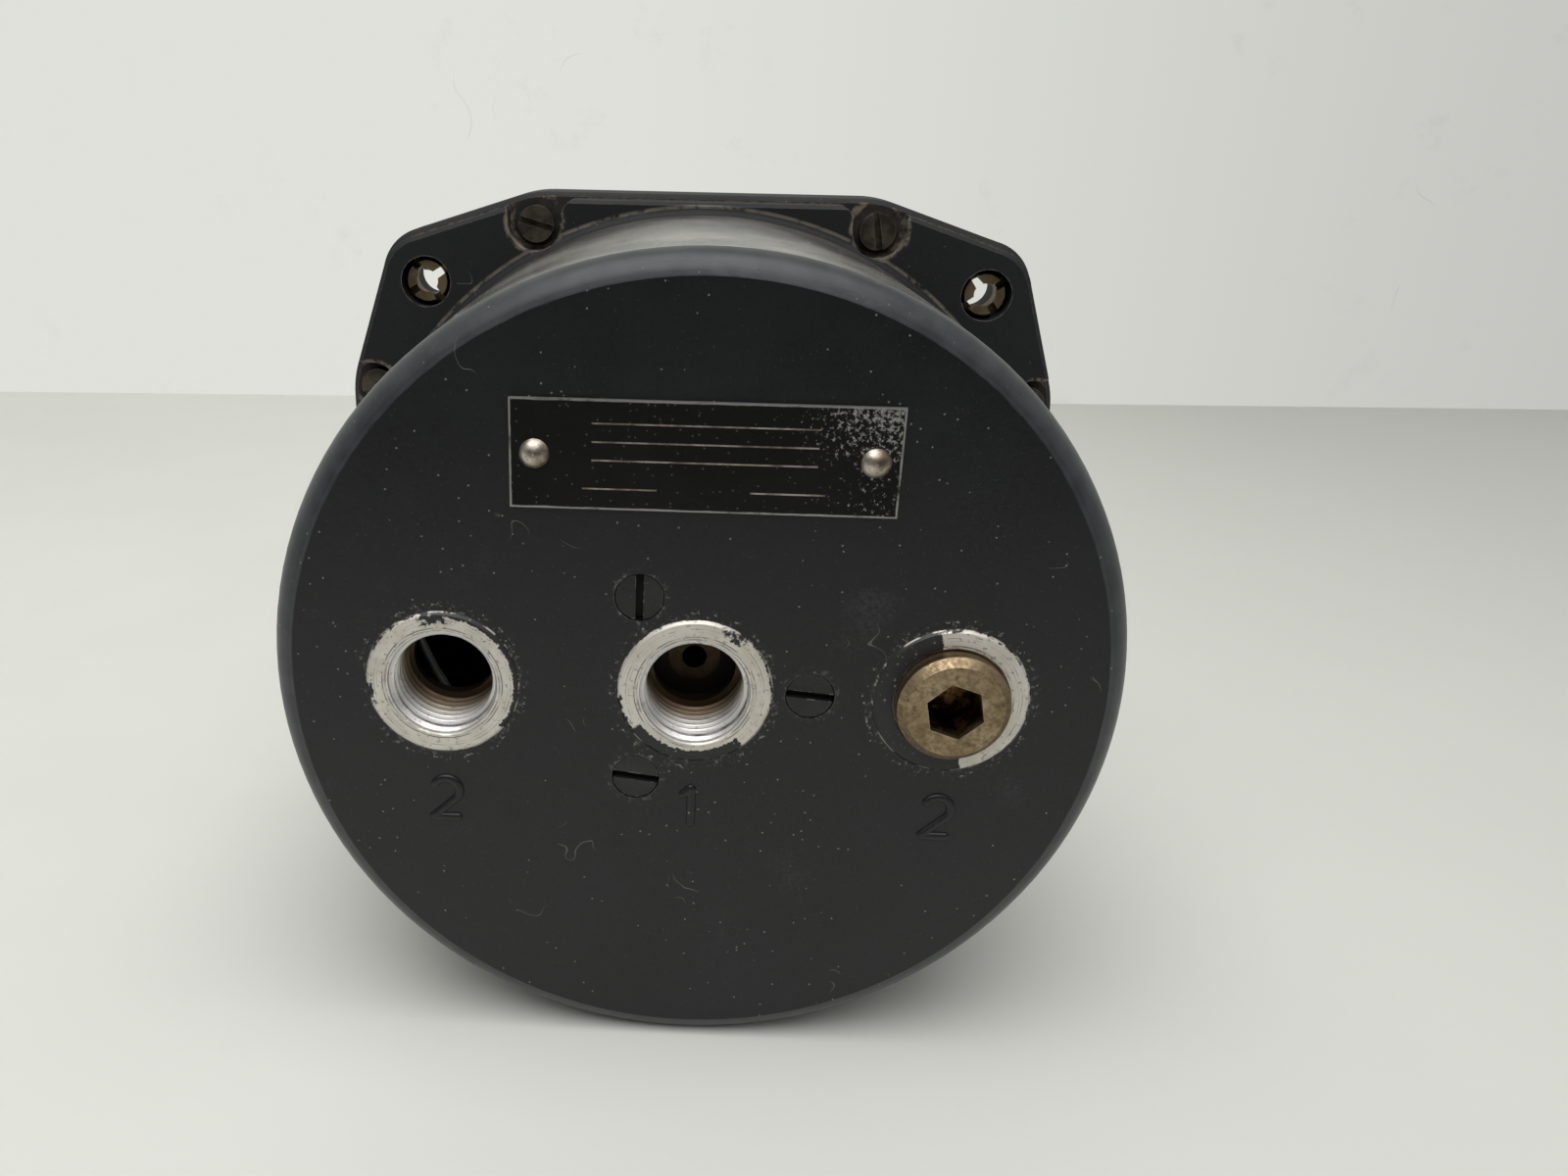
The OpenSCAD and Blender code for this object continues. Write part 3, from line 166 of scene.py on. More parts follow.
def dressed(mesh, material):
    """Object for a finished mesh, in one material."""
    mesh.materials.append(material)
    return put(mesh.name, mesh)


def add_piece(mesh, material):
    """Finished mesh as a piece that rides on the housing, in the given material."""
    piece = dressed(mesh, material)
    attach(piece, HOUSING)


# Port threads
THREAD_PITCH = 25.4 / 27 * MM
THREAD_DEPTH = 0.62 * MM
THREAD_BACK = 0.12 * MM
THREAD_MOUTH_GAP = 0.12 * MM
THREAD_END_GAP = 0.2 * MM
THREAD_SLOPE = 1.3
THREAD_FLAT = 0.15
THREAD_TURN_STEPS = 160
THREAD_ROWS_PER_PITCH = 14
THREAD_CREASE = 60


def thread_mesh(name, centre_x):
    """Thread as a closed ring with a plain back.

    Its radius is the port's radius - depth * fade(y) * ridge(y / pitch - turn). The ridge is a triangle wave
    with flattened tops and roots, and it fades out over one pitch at the port's mouth.
    """
    mouth_y = BUSH_Y - THREAD_MOUTH_GAP
    end_y = BUSH_Y - PORT_LEN - THREAD_END_GAP
    rows = int((mouth_y - end_y) / THREAD_PITCH * THREAD_ROWS_PER_PITCH)
    turn = np.linspace(0, 1, THREAD_TURN_STEPS, endpoint=False)[:, None]
    y = np.linspace(end_y, mouth_y, rows)[None, :]
    wave = np.abs(2 * ((y / THREAD_PITCH - turn) % 1) - 1)
    ridge = np.clip(THREAD_SLOPE * wave - THREAD_FLAT, 0, 1)
    fade = np.clip((mouth_y - y) / THREAD_PITCH, 0, 1)
    wall = PORT_R - THREAD_DEPTH * fade * ridge
    back = np.full((THREAD_TURN_STEPS, 2), PORT_R + THREAD_BACK)
    radius = np.hstack([wall, back])
    depth = np.hstack([y, [[mouth_y, end_y]]]) + 0 * turn
    angle = 2 * math.pi * turn
    points = np.stack([centre_x + radius * np.sin(angle), depth, radius * np.cos(angle)], axis=-1)
    return grid_mesh(name, points, THREAD_CREASE)


# Raised port numbers: sizes, and the upper bow of the 2 in degrees and in shares of its height
MARK_Z = -12.1 * MM
MARK_HEIGHT = 4.2 * MM
MARK_HALF_WIDTH = 0.42 * MM
MARK_RISE = 0.28 * MM
MARK_SINK = 0.2 * MM
MARK_PATH_STEPS = 90
MARK_SECTION_STEPS = 14
MARK_CREASE = 70
BOW_START = 165
BOW_END = -38
BOW_STEPS = 24
BOW_R = 0.3
BOW_MIDDLE = 0.7


def way_along(path):
    """Distance of each point of a path from its start, along the path."""
    return np.concatenate([[0], np.cumsum(np.linalg.norm(np.diff(path, axis=0), axis=1))])


def smooth_path(corners, steps):
    """Points along straight runs between corners, closer together towards both ends of the whole path."""
    corners = np.array(corners)
    run = way_along(corners)
    share = (1 - np.cos(np.linspace(0, math.pi, steps))) / 2 * run[-1]
    return np.stack([np.interp(share, run, corners[:, k]) for k in (0, 1)], axis=-1)


def ridge_mesh(name, path, y):
    """Moulded ridge: an oval section, low over the surface and sunk under it, along a path in X and Z.

    It shrinks to a point at each end as sqrt(1 - (1 - d / half width)^2), d being the way from the end.
    """
    ahead = np.gradient(path, axis=0)
    ahead /= np.linalg.norm(ahead, axis=1, keepdims=True)
    side = np.stack([-ahead[:, 1], ahead[:, 0]], axis=-1)
    run = way_along(path)
    to_end = np.minimum(run, run[-1] - run)
    shrink = np.sqrt(1 - np.clip(1 - to_end / MARK_HALF_WIDTH, 0, 1) ** 2)[:, None]
    turn = np.linspace(0, 2 * math.pi, MARK_SECTION_STEPS, endpoint=False)[None, :]
    lift = np.sin(turn) * np.where(np.sin(turn) > 0, MARK_RISE, MARK_SINK)
    out = MARK_HALF_WIDTH * np.cos(turn) * shrink
    x = path[:, :1] + out * side[:, :1]
    z = path[:, 1:] + out * side[:, 1:]
    return grid_mesh(name, np.stack([x, y + lift * shrink, z], axis=-1), MARK_CREASE, wrap_rows=False)


def mark_path(number, centre_x):
    """Path of the figure 1 or 2 in X and Z, as it reads from the rear, from shares of its height."""
    bow = np.radians(np.linspace(BOW_START, BOW_END, BOW_STEPS))
    top = np.stack([BOW_R * np.cos(bow), BOW_MIDDLE + BOW_R * np.sin(bow)], axis=-1)
    figures = {
        1: [[-0.24, 0.76], [0.02, 1.0], [0.02, 0.0]],
        2: [*top.tolist(), [-0.32, 0.0], [0.34, 0.0]],
    }
    path = smooth_path(figures[number], MARK_PATH_STEPS) * MARK_HEIGHT
    return np.stack([centre_x - path[:, 0], MARK_Z - MARK_HEIGHT / 2 + path[:, 1]], axis=-1)


# Blank ruled lines on the plate, in mm: way above its middle, left end and right end as the camera sees it
RULES = ((2.75, -9.6, 9.6), (1.15, -9.6, 9.6), (-0.45, -9.6, 9.6), (-2.95, -10.4, -4.0), (-2.95, 4.0, 10.4))
RULE_HALF_WIDTH = 0.07 * MM
RULE_RISE = 0.03 * MM


def rule_mesh(name):
    """Thin flat bars along X on the plate's face."""
    height, left, right = np.array(RULES).T * MM
    flat = np.zeros_like(height)
    middles = np.stack([-(left + right) / 2, flat + PLATE_HIGH.y, PLATE_MIDDLE_Z + height], axis=-1)
    halves = np.stack([(right - left) / 2, flat + RULE_HALF_WIDTH, flat + RULE_RISE], axis=-1)
    along, across, up = (np.tile(axis, (len(RULES), 1)) for axis in ([1.0, 0, 0], [0, 0, 1.0], [0, 1.0, 0]))
    return bars(name, middles, along, across, up, halves)


# Dial marks
SCALE_STEP = 50
SCALE_STEPS = 8
SCALE_DEGREES = 40
TICKS_PER_STEP = 5
TICK_OUTER = DIAL_R - 2.6 * MM
TICK_LENGTHS = (4.4 * MM, 2.6 * MM)
TICK_WIDTHS = (1.0 * MM, 0.5 * MM)
TICK_RISE = 0.04 * MM
NUMBER_RING = TICK_OUTER - 8.2 * MM
NUMBER_SIZE = 5.2 * MM


def tick_mesh(name):
    """Scale ticks as flat bars along the radius, at equal angles, with the first of each step longer."""
    count = SCALE_STEPS * TICKS_PER_STEP + 1
    place = np.arange(count)
    long = place % TICKS_PER_STEP == 0
    angle = np.radians(place * SCALE_DEGREES / TICKS_PER_STEP)
    length = np.where(long, *TICK_LENGTHS)
    width = np.where(long, *TICK_WIDTHS)
    along = np.stack([np.sin(angle), 0 * angle, np.cos(angle)], axis=-1)
    across = np.stack([np.cos(angle), 0 * angle, -np.sin(angle)], axis=-1)
    up = np.tile([0.0, -1.0, 0.0], (count, 1))
    middles = along * (TICK_OUTER - length / 2)[:, None] + np.array([0, DIAL_Y, 0])
    halves = np.stack([length / 2, width / 2, np.full(count, TICK_RISE)], axis=-1)
    return bars(name, middles, along, across, up, halves)


def number_mesh(name):
    """Scale numbers as one mesh, each made flat, turned to face the pilot and set on a ring."""
    joined = bmesh.new()
    for k in range(SCALE_STEPS + 1):
        words = bpy.data.curves.new("number outline", "FONT")
        words.body = str(k * SCALE_STEP)
        words.size = NUMBER_SIZE
        words.extrude = TICK_RISE
        words.align_x = "CENTER"
        words.align_y = "CENTER"
        holder = put("number outline", words)
        bpy.context.view_layer.update()
        flat = bpy.data.meshes.new_from_object(holder.evaluated_get(bpy.context.evaluated_depsgraph_get()))
        angle = math.radians(k * SCALE_DEGREES)
        spot = Vector((NUMBER_RING * math.sin(angle), DIAL_Y, NUMBER_RING * math.cos(angle)))
        flat.transform(Matrix.Translation(spot) @ Matrix.Rotation(math.pi / 2, 4, "X"))
        joined.from_mesh(flat)
        bpy.data.meshes.remove(flat)
        bpy.data.objects.remove(holder)
    return merged_mesh(name, joined)


# Capsule
CAPSULE_NODE = "diaphragm_front_half"


def add_swelling_sheet(name, node, material):
    """Copy of a solid as one smooth-shaded sheet, shown in its place while the solid is hidden.
    """
    shape = bmesh.new()
    shape.from_mesh(frame["nodes"][node].data)
    mesh = merged_mesh(name, shape)
    soften(mesh, SHEET_CREASE)
    sheet = dressed(mesh, material)
    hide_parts(node)
    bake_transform(sheet)


# Shader nodes


def add(tree, kind, fills=(), **settings):
    """Adds a node with its settings, and fills inputs, by name or number, with sockets or plain values."""
    made = tree.nodes.new(kind)
    for name, value in settings.items():
        setattr(made, name, value)
    fill(tree, made, dict(fills))
    return made


def fill(tree, made, fills):
    """Links each socket, and sets each plain value, on a node's inputs."""
    for key, value in fills.items():
        if isinstance(value, bpy.types.NodeSocket):
            tree.links.new(value, made.inputs[key])
        else:
            made.inputs[key].default_value = value


def calc(tree, operation, first, second=0.0, third=0.0, clamp=False):
    """One step of arithmetic."""
    fills = {0: first, 1: second, 2: third}
    return add(tree, "ShaderNodeMath", fills, operation=operation, use_clamp=clamp).outputs[0]


def vector(tree, operation, first, second=(0.0, 0.0, 0.0)):
    """One step of arithmetic on vectors, as its outputs Vector and Value."""
    return add(tree, "ShaderNodeVectorMath", {0: first, 1: second}, operation=operation).outputs


def times(tree, *factors):
    """Product of masks and numbers."""
    product = factors[0]
    for factor in factors[1:]:
        product = calc(tree, "MULTIPLY", product, factor)
    return product


def most(tree, *masks):
    """Strongest of several masks."""
    strongest = masks[0]
    for mask in masks[1:]:
        strongest = calc(tree, "MAXIMUM", strongest, mask)
    return strongest


def summed(tree, base, *parts):
    """Base level plus each mask times its amount, kept from 0 to 1."""
    total = base
    for mask, amount in parts:
        total = calc(tree, "MULTIPLY_ADD", mask, amount, total, clamp=True)
    return total


def flipped(tree, mask):
    """Mask with its full and empty parts changed over."""
    return calc(tree, "SUBTRACT", 1.0, mask)


def step(tree, value, low, high):
    """Smooth step from 0 at low to 1 at high, falling where low is above high."""
    fills = {"Value": value, "From Min": low, "From Max": high}
    return add(tree, "ShaderNodeMapRange", fills, interpolation_type="SMOOTHSTEP").outputs["Result"]


def near(tree, value, middle, half, soft):
    """Mask of a band: 1 within half of the middle, gone within soft beyond that."""
    away = calc(tree, "ABSOLUTE", calc(tree, "SUBTRACT", value, middle))
    return step(tree, away, half + soft, half)


def mixed(tree, share, first, second):
    """Colour that goes from the first to the second as share goes from 0 to 1."""
    return add(tree, "ShaderNodeMix", {0: share, 6: first, 7: second}, data_type="RGBA").outputs[2]


def coated(tree, colour, *layers):
    """Colour under layers, each given by its mask, its strength and its own colour."""
    for mask, strength, tint in layers:
        colour = mixed(tree, times(tree, mask, strength), colour, tint)
    return colour


def rgb(red, green, blue):
    """Linear colour, fully opaque."""
    return (red, green, blue, 1.0)


def grey(level, warmth=0.0):
    """Linear grey, warmer above 0 and cooler below."""
    return rgb(level * (1 + warmth), level, level * (1 - warmth))


def cream(level):
    """Pale stage colour, a little short of blue."""
    return rgb(level * 0.99, level, level * 0.94)


def noise(tree, place, scale, detail=3.0, roughness=0.55):
    """Cloudy noise between 0 and 1."""
    fills = {"Vector": place, "Scale": scale, "Detail": detail, "Roughness": roughness}
    return add(tree, "ShaderNodeTexNoise", fills).outputs["Fac"]


def clouds(tree, place, scale, low, high, detail=5.0):
    """Mask of the noise's upper parts, with its edge between two levels."""
    return step(tree, noise(tree, place, scale, detail, 0.65), low, high)


def jitter(tree, place, scale, reach, detail=4.0):
    """Noise about zero that goes up to about half the reach either way."""
    return times(tree, calc(tree, "SUBTRACT", noise(tree, place, scale, detail, 0.65), 0.5), reach)


def uneven(tree, value, place, scale, reach):
    """Value moved by noise, up to about half the reach either way."""
    return calc(tree, "ADD", value, jitter(tree, place, scale, reach))


def split(tree, place):
    """X, Y and Z of a place."""
    return add(tree, "ShaderNodeSeparateXYZ", {0: place}).outputs


def in_plane(tree, x, z):
    """Place with the given X and Z, and no Y."""
    return add(tree, "ShaderNodeCombineXYZ", {"X": x, "Z": z}).outputs[0]


def bumped(tree, height, strength, distance):
    """Normal from a height in shares of a distance in metres."""
    fills = {"Height": height, "Strength": strength, "Distance": distance}
    return add(tree, "ShaderNodeBump", fills).outputs["Normal"]


def surface_normal(tree):
    """Normal of the surface, without any bump."""
    return add(tree, "ShaderNodeNewGeometry").outputs["Normal"]


# Node groups that the finishes share
ORIGIN = (0.0, 0.0, 0.0)
SPECK_LEAST = 0.4
SPECK_SPREAD = 0.8
SPECK_CORE = 0.6
HAIR_CORE = 0.4
HAIR_PATCH_SCALE = 190.0
HAIR_PATCH_SIZE = 0.45
EDGE_SAMPLES = 8
EDGE_LEVELS = (0.985, 0.8)
EDGE_BREAKS = (0.3, 0.62)
MOTTLE_LEVELS = (0.32, 0.68)
MOTTLE_FINENESS = 14.0


def new_group(name, inputs, outputs):
    """Empty node group with named inputs and outputs, and its two end nodes."""
    tree = bpy.data.node_groups.new(name, "ShaderNodeTree")
    for label, value in inputs.items():
        kind = "NodeSocketVector" if isinstance(value, tuple) else "NodeSocketFloat"
        tree.interface.new_socket(name=label, in_out="INPUT", socket_type=kind).default_value = value
    for label in outputs:
        tree.interface.new_socket(name=label, in_out="OUTPUT", socket_type="NodeSocketFloat")
    return tree, tree.nodes.new("NodeGroupInput").outputs, tree.nodes.new("NodeGroupOutput")


def use(tree, group, output, **fills):
    """Places a group and gives one of its outputs."""
    made = tree.nodes.new("ShaderNodeGroup")
    made.node_tree = group
    fill(tree, made, fills)
    return made.outputs[output]


def make_speck_group():
    """Specks: small round spots, one to a cell, of uneven size, in a share of the cells."""
    inputs = {"Place": ORIGIN, "Scale": 400.0, "Share": 0.2, "Size": 0.2}
    tree, given, end = new_group("specks", inputs, ["Mask"])
    cells = add(tree, "ShaderNodeTexVoronoi", {"Vector": given["Place"], "Scale": given["Scale"]})
    chance = add(tree, "ShaderNodeSeparateColor", {0: cells.outputs["Color"]}).outputs
    size = times(tree, given["Size"], calc(tree, "MULTIPLY_ADD", chance[1], SPECK_SPREAD, SPECK_LEAST))
    spot = step(tree, cells.outputs["Distance"], size, times(tree, size, SPECK_CORE))
    chosen = calc(tree, "LESS_THAN", chance[0], given["Share"])
    fill(tree, end, {"Mask": times(tree, spot, chosen)})
    return tree


def make_hair_group():
    """Hairs: the curved lines where a noise passes its middle, kept only inside scattered round patches."""
    inputs = {"Place": ORIGIN, "Scale": 260.0, "Share": 0.1, "Width": 0.006}
    tree, given, end = new_group("hairs", inputs, ["Mask"])
    from_middle = calc(tree, "SUBTRACT", noise(tree, given["Place"], given["Scale"], 1.0), 0.5)
    core = times(tree, given["Width"], HAIR_CORE)
    line = step(tree, calc(tree, "ABSOLUTE", from_middle), given["Width"], core)
    patch = use(tree, SPECKS, "Mask", Place=given["Place"], Scale=HAIR_PATCH_SCALE, Share=given["Share"],
                Size=HAIR_PATCH_SIZE)
    fill(tree, end, {"Mask": times(tree, line, patch)})
    return tree


def make_edge_group():
    """Worn edges: where the rounded normal leaves the true one, broken up by noise."""
    inputs = {"Place": ORIGIN, "Width": 0.0003, "Break": 900.0}
    tree, given, end = new_group("worn edges", inputs, ["Mask"])
    rounded = add(tree, "ShaderNodeBevel", {"Radius": given["Width"]}, samples=EDGE_SAMPLES).outputs[0]
    lined_up = vector(tree, "DOT_PRODUCT", rounded, surface_normal(tree))["Value"]
    turned = step(tree, lined_up, *EDGE_LEVELS)
    patchy = step(tree, noise(tree, given["Place"], given["Break"]), *EDGE_BREAKS)
    fill(tree, end, {"Mask": times(tree, turned, patchy)})
    return tree


def make_mottle_group():
    """Mottle: broad and fine clouds of tone, each stretched to run from 0 to 1."""
    tree, given, end = new_group("mottle", {"Place": ORIGIN, "Scale": 120.0}, ["Broad", "Fine"])
    broad = noise(tree, given["Place"], given["Scale"])
    fine = noise(tree, given["Place"], times(tree, given["Scale"], MOTTLE_FINENESS), detail=5.0)
    fill(tree, end, {"Broad": step(tree, broad, *MOTTLE_LEVELS), "Fine": step(tree, fine, *MOTTLE_LEVELS)})
    return tree


def make_ring_group():
    """Turning marks: noise that changes with the distance from an axis along Y, less the place along it."""
    inputs = {"Place": ORIGIN, "Scale": 9000.0}
    tree, given, end = new_group("turning marks", inputs, ["Height", "Radius"])
    spot = split(tree, given["Place"])
    radius = vector(tree, "LENGTH", in_plane(tree, spot["X"], spot["Z"]))["Value"]
    reach = times(tree, calc(tree, "SUBTRACT", radius, spot["Y"]), given["Scale"])
    rings = add(tree, "ShaderNodeTexNoise", {"W": reach, "Scale": 1.0, "Detail": 2.0}, noise_dimensions="1D")
    fill(tree, end, {"Height": rings.outputs["Fac"], "Radius": radius})
    return tree


SPECKS = make_speck_group()
HAIRS = make_hair_group()
EDGES = make_edge_group()
MOTTLE = make_mottle_group()
RINGS = make_ring_group()


def start(name):
    """New material with its shader, and the Object coordinates that its patterns read."""
    material = bpy.data.materials.new(name)
    material.use_nodes = True
    tree = material.node_tree
    return material, tree, tree.nodes["Principled BSDF"], add(tree, "ShaderNodeTexCoord").outputs["Object"]


def port_distance(tree, spot):
    """Distance from the nearest port's axis: X is folded twice, so that all three ports fall on one."""
    folded = spot["X"]
    for _ in range(2):
        folded = calc(tree, "SUBTRACT", calc(tree, "ABSOLUTE", folded), STATIC_X / 2)
    return vector(tree, "LENGTH", in_plane(tree, folded, spot["Z"]))["Value"]


def pocket_distance(tree, spot):
    """Distance from the nearest screw pocket's axis: X and Z are folded and sorted, so all fall on one."""
    sides = [calc(tree, "ABSOLUTE", spot[axis]) for axis in ("X", "Z")]
    flat = in_plane(tree, calc(tree, "MINIMUM", *sides), calc(tree, "MAXIMUM", *sides))
    return vector(tree, "DISTANCE", flat, (POCKET_X, 0.0, POCKET_Z))["Value"]


def screw_distance(tree, spot):
    """Distance from the nearest movement screw's axis."""
    flat = in_plane(tree, spot["X"], spot["Z"])
    ways = []
    for angle in SCREW_ANGLES:
        turn = math.radians(angle)
        middle = (SCREW_RING * math.cos(turn), 0.0, SCREW_RING * math.sin(turn))
        ways.append(vector(tree, "DISTANCE", flat, middle)["Value"])
    return calc(tree, "MINIMUM", ways[0], calc(tree, "MINIMUM", ways[1], ways[2]))


# Moulding with its dirt, wear and painted highlights; also the painted shade for metal in line with the ports
DUST = rgb(0.3, 0.292, 0.27)
# Painted shade for metal seen through the ports, where no light reaches
PORT_LINE_SHADE = rgb(0.012, 0.009, 0.006)
BLACK_LOW = rgb(0.0018, 0.0022, 0.003)
BLACK_HIGH = rgb(0.0034, 0.0042, 0.0054)
BLACK_GRAIN = grey(0.0085, -0.14)
RIM_LOW = grey(0.02, -0.1)
RIM_HIGH = grey(0.056, -0.08)
SIDE_STREAK = grey(0.03, -0.02)
SIDE_PAINTED_HIGHLIGHT = rgb(0.42, 0.395, 0.34)
SMUDGE = grey(0.06, -0.04)
POCKET_GRIME = rgb(0.036, 0.029, 0.021)
POCKET_DUST = rgb(0.27, 0.225, 0.165)
WORN_AND_HIGHLIT_EDGE = grey(0.3, 0.06)
ROOT_DIRT = rgb(0.17, 0.15, 0.12)
JOINT_BLACK = grey(0.001)
MOULDING_GLOSS = 0.44


def moulding_dust(tree, place, spot, rear):
    """Dust on the moulding: grit round ports and screws, and specks, motes and hairs."""
    port_way = uneven(tree, port_distance(tree, spot), place, 900.0, 0.9 * MM)
    screw_way = uneven(tree, screw_distance(tree, spot), place, 1100.0, 0.7 * MM)
    port_collar = step(tree, port_way, BUSH_R + 1.3 * MM, BUSH_R)
    port_line = times(tree, near(tree, port_way, BUSH_R + 0.62 * MM, 0.04 * MM, 0.08 * MM), 1.6)
    screw_collar = step(tree, screw_way, 3.1 * MM, 2.2 * MM)
    collar = times(tree, rear, calc(tree, "ADD", most(tree, port_collar, screw_collar), port_line))
    grit = times(tree, clouds(tree, place, 2600.0, 0.54, 0.66, 6.0), collar)
    patchy = use(tree, MOTTLE, "Broad", Place=place, Scale=40.0)
    share = summed(tree, 0.12, (patchy, 0.45))
    specks = use(tree, SPECKS, "Mask", Place=place, Scale=1100.0, Share=share, Size=0.13)
    motes = use(tree, SPECKS, "Mask", Place=place, Scale=2100.0, Share=0.55, Size=0.12)
    hairs = use(tree, HAIRS, "Mask", Place=place, Share=0.14)
    strengths = ((grit, 0.4), (specks, 0.55), (motes, 0.22), (hairs, 0.3))
    return most(tree, *(times(tree, mask, strength) for mask, strength in strengths))


def make_moulding():
    """Worn black moulding: a dusty rear face, a rubbed rim, a smooth side with a painted highlight, and a
    flange with dirty pockets.
    """
    material, tree, shader, place = start("worn black moulding")
    spot = split(tree, place)
    radius = use(tree, RINGS, "Radius", Place=place)
    streaks = use(tree, RINGS, "Height", Place=place, Scale=3600.0)
    broad = use(tree, MOTTLE, "Broad", Place=place, Scale=95.0)
    fine = use(tree, MOTTLE, "Fine", Place=place, Scale=260.0)
    blotch = use(tree, MOTTLE, "Broad", Place=place, Scale=480.0)

    rear = step(tree, spot["Y"], REAR_Y - 0.2 * MM, REAR_Y - 0.05 * MM)
    ragged_r = uneven(tree, radius, place, 700.0, 0.22 * MM)
    past_crease = step(tree, ragged_r, RIM_IN_R - 0.06 * MM, RIM_IN_R + 0.06 * MM)
    behind_side = step(tree, spot["Y"], RIM_FRONT_Y - 0.1 * MM, RIM_FRONT_Y)
    rim = times(tree, past_crease, behind_side)
    on_side = near(tree, radius, SIDE_R, 0.15 * MM, 0.1 * MM)
    past_flange = step(tree, spot["Y"], SIDE_FRONT_Y - 0.3 * MM, SIDE_FRONT_Y)
    side = times(tree, on_side, past_flange, flipped(tree, behind_side))
    on_flange = step(tree, spot["Y"], SIDE_FRONT_Y, SIDE_FRONT_Y - 0.2 * MM)

    rubbed = mixed(tree, summed(tree, 0.0, (blotch, 0.4), (streaks, 0.6)), RIM_LOW, RIM_HIGH)
    # Painted highlight: a pale tan film on the upward face of the side, stronger towards the rear, in place
    # of the reflection along its top
    upward = step(tree, split(tree, surface_normal(tree))["Z"], 0.72, 1.0)
    rearward = summed(tree, 0.4, (step(tree, spot["Y"], SIDE_FRONT_Y, RIM_FRONT_Y), 0.6))
    highlight_clouds = times(tree, step(tree, streaks, 0.1, 0.7), clouds(tree, place, 90.0, 0.2, 0.7))
    side_painted_highlight = times(tree, side, upward, rearward, highlight_clouds)
    smudges = times(tree, rear, clouds(tree, place, 60.0, 0.6, 0.72, 6.0), fine)
    floor_band = near(tree, spot["Y"], FLANGE_BACK_Y, 0.12 * MM, 0.15 * MM)
    pocket = times(tree, floor_band, clouds(tree, place, 900.0, 0.36, 0.6))
    pocket_way = uneven(tree, pocket_distance(tree, spot), place, 900.0, 0.5 * MM)
    pocket_wall = near(tree, spot["Y"], (FLANGE_BACK_Y + PAD_Y) / 2, 1.45 * MM, 0.2 * MM)
    pocket_ring = times(tree, near(tree, pocket_way, POCKET_R, 0.2 * MM, 0.3 * MM), pocket_wall,
                        clouds(tree, place, 700.0, 0.4, 0.6))
    # Pale edges: worn all over, and on the flange partly wear and partly a painted highlight along its edges
    edges = use(tree, EDGES, "Mask", Place=place, Width=0.3 * MM, Break=520.0)
    fine_edges = use(tree, EDGES, "Mask", Place=place, Width=0.16 * MM, Break=1400.0)
    worn = most(tree, times(tree, edges, 0.16), times(tree, fine_edges, on_flange, 0.85))
    root = times(tree, near(tree, radius, ROOT_R, 0.1 * MM, 0.15 * MM),
                 near(tree, spot["Y"], PAD_Y, 0.1 * MM, 0.1 * MM), clouds(tree, place, 800.0, 0.34, 0.55))
    joint = near(tree, spot["Y"], JOINT_Y, 0.07 * MM, 0.05 * MM)
    dust = moulding_dust(tree, place, spot, rear)
    colour = coated(
        tree, mixed(tree, broad, BLACK_LOW, BLACK_HIGH),
        (fine, 0.5, BLACK_GRAIN),
        (rim, 0.9, rubbed),
        (times(tree, side, streaks), 0.6, SIDE_STREAK),
        (side_painted_highlight, 0.85, SIDE_PAINTED_HIGHLIGHT),
        (smudges, 0.3, SMUDGE),
        (pocket, 0.8, POCKET_GRIME),
        (pocket_ring, 0.75, POCKET_DUST),
        (worn, 1.0, WORN_AND_HIGHLIT_EDGE),
        (root, 0.7, ROOT_DIRT),
        (joint, 1.0, JOINT_BLACK),
        (dust, 1.0, DUST),
    )

    dull = most(tree, pocket, dust)
    roughness = summed(tree, 0.34, (broad, 0.06), (side, -0.14), (on_flange, 0.32), (dull, 0.3))
    grain = calc(tree, "ADD", fine, times(tree, broad, 1.5))
    normal = bumped(tree, calc(tree, "MULTIPLY_ADD", dust, 2.0, grain), 0.2, 0.02 * MM)
    fill(tree, shader, {"Base Color": colour, "Roughness": roughness, "Normal": normal,
                        "Specular IOR Level": MOULDING_GLOSS})
    return material


# Paint on the port faces, as arcs from the camera: middle and half width in degrees, and least radius
PORT_PAINT = {
    "open_static_bush": ((28, 66, 6.6 * MM), (190, 9, 6.55 * MM), (95, 11, 6.0 * MM), (125, 30, 6.95 * MM)),
    "pitot_bush": ((263, 49, 5.95 * MM), (58, 8, 6.1 * MM), (205, 20, 6.8 * MM), (30, 40, 6.95 * MM)),
    PLUGGED_BUSH: ((193, 90, 0.0), (98, 9, 6.85 * MM), (30, 40, 7.0 * MM)),
}
PAINT_BLACK = grey(0.009, -0.05)
PORT_DARK = rgb(0.58, 0.54, 0.475)
PORT_PALE = rgb(0.7, 0.665, 0.605)
PORT_PITS = rgb(0.17, 0.145, 0.115)
MOUTH_LINE = rgb(0.1, 0.085, 0.07)
BORE_BRIGHT = rgb(0.76, 0.745, 0.72)
BORE_BROWN = rgb(0.2, 0.145, 0.09)
BORE_PITS = rgb(0.16, 0.14, 0.12)
BORE_ROOT_SHADE = rgb(0.03, 0.024, 0.018)


